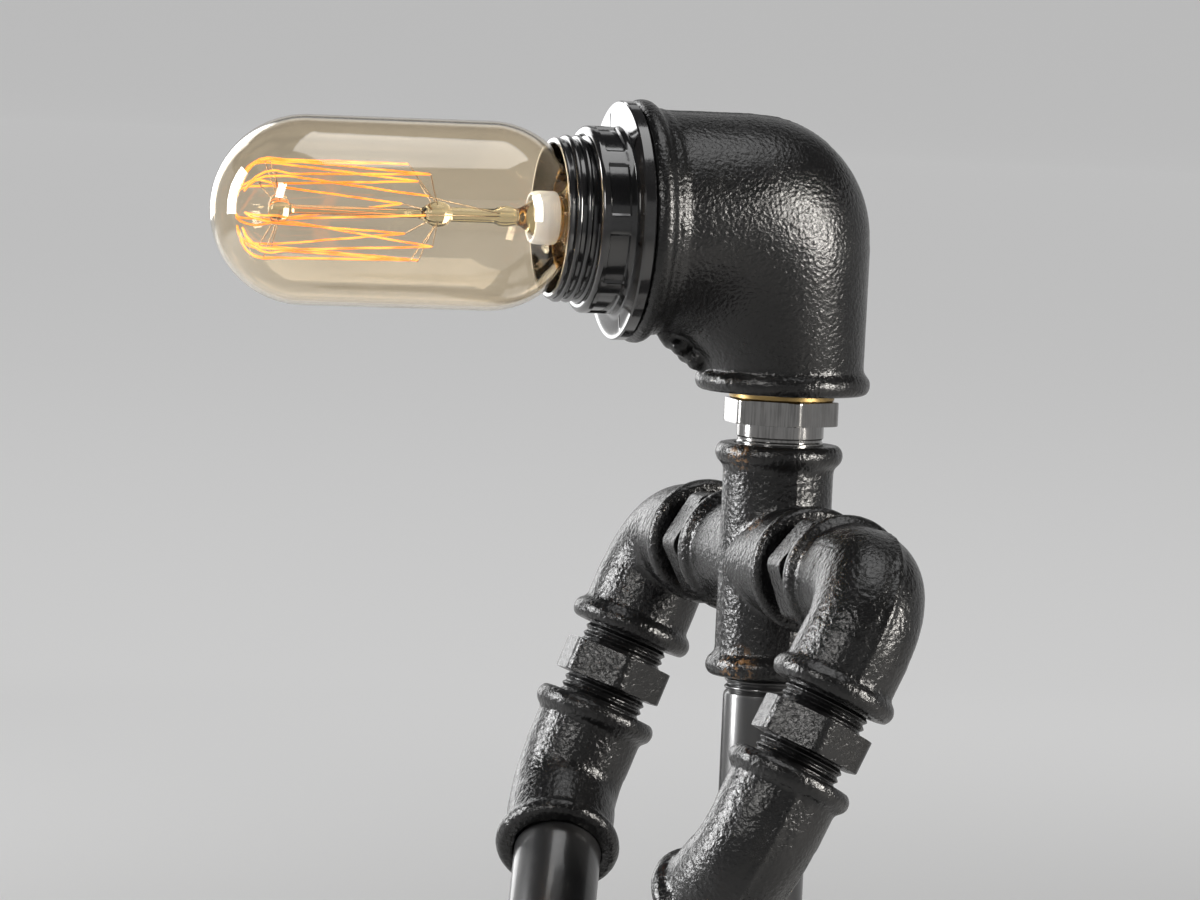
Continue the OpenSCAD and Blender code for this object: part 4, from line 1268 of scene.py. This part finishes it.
class LAMP_OT_tap(LampOperator, bpy.types.Operator):
    """Bonnet, spindle and handwheel of the tap switch"""
    bl_idname = "lamp.tap"
    bl_label = "Tap"

    def execute(self, context):
        cast_piece("tap_handwheel", "tap", soften=4, slot="wheel_paint", name="handwheel_casting")
        centre = Vector((0, 0, middle("valve_body").z))
        place = axes_at(centre, LEFT, (0, 1, 0))
        bonnet = [(3.05, 8.05), (8.6, 8.05), (9.0, 8.5), (9.0, 21.0), *hex_rings(24.0, 21.06, 6.9),
                  (9.2, 28.0), (8.8, 28.1), *hex_rings(17.0, 28.2, 5.8, 0.8), (3.05, 34.0)]
        turned_piece("bonnet_turned", bonnet, place, 96, "torso", "black_iron", "iron", "valve_bonnet")
        spindle = [(0, 0.5), (3.0, 0.5), (3.0, 42.0), (2.5, 42.0), (2.5, 46.5), (0, 46.5)]
        turned_piece("spindle_turned", spindle, place, 48, "tap", "steel", "brass", "tap_spindle", 30)
        clad("tap_screw", finish("steel"))
        clad("rotary_switch", finish("switch"))
        return {"FINISHED"}


class LAMP_OT_gland(LampOperator, bpy.types.Operator):
    """Reducing plug and cable gland in the hip cross"""
    bl_idname = "lamp.gland"
    bl_label = "Cable gland"

    def execute(self, context):
        place = axes_at(Vector((0, 0, low("hip_cross").z)), LEFT, -UP)
        plug = [(6.45, -13), (10.0, -13), (THREAD_R, -12.4), (THREAD_R, -0.05),
                *hex_rings(HEX_FLATS, 0.05, 5.9), (6.45, 6.0)]
        turned_piece("plug_turned", plug, place, 96, "torso", "black_iron", "iron", "gland_plug")
        gland = [(3.5, -7), (6.4, -7), (6.4, 6.0), *hex_rings(19.0, 6.1, 4.9, 0.8), (9.0, 11.1),
                 (9.0, 17.1), (8.3, 18.1), (7.4, 18.9), (4.2, 19.0), (3.5, 18.8)]
        turned_piece("gland_moulding", gland, place, 96, "torso", "gland_plastic", "gland",
                     "cable_gland", 30)
        return {"FINISHED"}


class LAMP_OT_inner_parts(LampOperator, bpy.types.Operator):
    """Materials of the parts inside the holder, the cap and the pipes"""
    bl_idname = "lamp.inner_parts"
    bl_label = "Inner parts"

    def execute(self, context):
        for node, name in (("holder_shell", "brass"), ("holder_contact", "brass"),
                           ("bulb_cap_insulator", "bead"), ("bulb_contact", "steel"),
                           ("head_wires", "sleeve"), ("spine_wires", "sleeve")):
            clad(node, finish(name))
        return {"FINISHED"}


class LAMP_OT_stage(LampOperator, bpy.types.Operator):
    """Pale floor that curves up all round, soft lamps and the camera"""
    bl_idname = "lamp.stage"
    bl_label = "Stage"

    def execute(self, context):
        self.floor()
        self.world(context.scene)
        self.lamps()
        self.camera(context.scene)
        return {"FINISHED"}

    @staticmethod
    def floor():
        """Floor that shines faintly where it is seen, but not near the lamp, whose shadow stays."""
        look = bpy.context.scene.lamp_looks
        f = Finish("pale_floor")
        soft = f.noise(0.6)
        path = f.add("ShaderNodeLightPath")
        seen = sum(f.out(path, "Is %s Ray" % kind) for kind in ("Camera", "Glossy", "Transmission"))
        far = 1 - f.near((0.0, 0.0, 0.0), 2.8) * 0.9
        f.set(Base_Color=f.mix(soft, rgb(look.floor), rgb(look.floor, 0.97)), Roughness=0.75,
              Emission_Color=f.mix(seen * far, (0.0, 0.0, 0.0, 1.0), rgb(look.backdrop)),
              Emission_Strength=1.0)
        edge, cove, lowered, top = 10500, 1500, -0.2, 5000
        line = [(0.5, lowered), (400, lowered), (2000, lowered), (edge, lowered)]
        line += arc(edge, lowered + cove, cove, -90, 0, 16) + [(edge + cove, top)]
        bm = bmesh.new()
        skinned(bm, [circle(radius, height, 128) for radius, height in reversed(line)])
        mesh = ended("pale_floor", bm)
        mesh.materials.append(f.material)
        mesh.shade_smooth()
        linked("pale_floor", mesh)

    @staticmethod
    def world(scene):
        """Faint even light from all sides."""
        world = bpy.data.worlds.new("soft_room")
        scene.world = world
        world.use_nodes = True
        ground = next(n for n in world.node_tree.nodes if n.type == "BACKGROUND")
        ground.inputs["Color"].default_value = (1.0, 1.0, 1.0, 1.0)
        ground.inputs["Strength"].default_value = 0.05

    @staticmethod
    def lamps():
        """Soft lamps: name, place, aim, width and height in metres, watts and tone."""
        body, behind, white = Vector((0, 0, 0.3)), Vector((-3.6, 1.2, 0.0)), (1.0, 1.0, 1.0)
        lamps = (("behind_left", (-2.1, -0.45, 0.85), body, (0.9, 1.4), 14, white),
                 ("rim_left", (-0.5, -1.05, 0.6), body, (0.3, 0.7), 25, white),
                 ("front_left", (0.7, -0.95, 0.85), body, (0.2, 0.36), 6, (1.0, 0.98, 0.95)),
                 ("front_right", (0.85, 0.85, 0.62), body, (0.26, 0.6), 30, (1.0, 0.96, 0.9)),
                 ("overhead", (0.1, 0.1, 1.5), body, (0.8, 0.8), 7, white),
                 ("backdrop", (-3.0, 1.0, 2.3), behind, (2.6, 2.6), 14, white))
        for name, spot, target, (wide, tall), power, tone in lamps:
            data = bpy.data.lights.new(name, "AREA")
            data.shape = "RECTANGLE"
            data.size = wide
            data.size_y = tall
            data.energy = power
            data.color = tone
            lamp = bpy.data.objects.new(name, data)
            lamp.location = spot
            lamp.visible_camera = False
            lamp.rotation_euler = (target - Vector(spot)).to_track_quat("-Z", "Y").to_euler()
            bpy.context.scene.collection.objects.link(lamp)

    @staticmethod
    def camera(scene):
        """Long lens, a little forward of the robot's left side, seen slightly from above."""
        azimuth, elevation, roll = math.radians(70.9), math.radians(4.14), math.radians(2.65)
        distance = 2.1414
        image_width, focal_pixels, sensor = 1200, 8966.5, 36.0
        aside, raised = -0.04273, 0.02437
        back = Vector((math.sin(azimuth) * math.cos(elevation), -math.cos(azimuth) * math.cos(elevation),
                       math.sin(elevation)))
        right = Vector((math.cos(azimuth), math.sin(azimuth), 0))
        up = back.cross(right)
        aim = right * aside + Vector((0, 0, middle("chest_cross").z + raised))
        leaned_right = right * math.cos(roll) + up * math.sin(roll)
        leaned_up = up * math.cos(roll) - right * math.sin(roll)
        data = bpy.data.cameras.new("camera")
        data.sensor_width = sensor
        data.sensor_fit = "HORIZONTAL"
        data.lens = focal_pixels / image_width * sensor
        data.clip_end = 50.0
        camera = bpy.data.objects.new("camera", data)
        place = Matrix((leaned_right, leaned_up, back)).transposed().to_4x4()
        place.translation = aim + back * distance
        camera.matrix_world = place
        scene.collection.objects.link(camera)
        scene.camera = camera
        scene.view_settings.view_transform = "Standard"


OPERATORS = (LAMP_OT_stage, LAMP_OT_torso_castings, LAMP_OT_limb_castings, LAMP_OT_feet, LAMP_OT_head,
             LAMP_OT_nipples, LAMP_OT_neck, LAMP_OT_pipes, LAMP_OT_holder, LAMP_OT_bulb, LAMP_OT_filament,
             LAMP_OT_tap, LAMP_OT_gland, LAMP_OT_inner_parts)


class LAMP_PT_panel(bpy.types.Panel):
    """Lists the lamp's sizes, looks and pieces"""
    bl_idname = "LAMP_PT_panel"
    bl_label = "Robot Lamp"
    bl_space_type = "VIEW_3D"
    bl_region_type = "UI"
    bl_category = "Robot Lamp"

    def draw(self, context):
        layout = self.layout
        for group in (context.scene.lamp_sizes, context.scene.lamp_looks):
            column = layout.column(align=True)
            for key in group.__annotations__:
                column.prop(group, key)
        for operator in OPERATORS:
            layout.operator(operator.bl_idname)


CLASSES = (LampSizes, LampLooks, *OPERATORS, LAMP_PT_panel)


def register():
    for cls in CLASSES:
        bpy.utils.register_class(cls)
    bpy.types.Scene.lamp_sizes = bpy.props.PointerProperty(type=LampSizes)
    bpy.types.Scene.lamp_looks = bpy.props.PointerProperty(type=LampLooks)


def unregister():
    del bpy.types.Scene.lamp_looks
    del bpy.types.Scene.lamp_sizes
    for cls in reversed(CLASSES):
        bpy.utils.unregister_class(cls)


def main():
    """Registers the classes and runs every operator."""
    register()
    for operator in OPERATORS:
        group, name = operator.bl_idname.split(".")
        getattr(getattr(bpy.ops, group), name)()


if __name__ == "__main__":
    main()
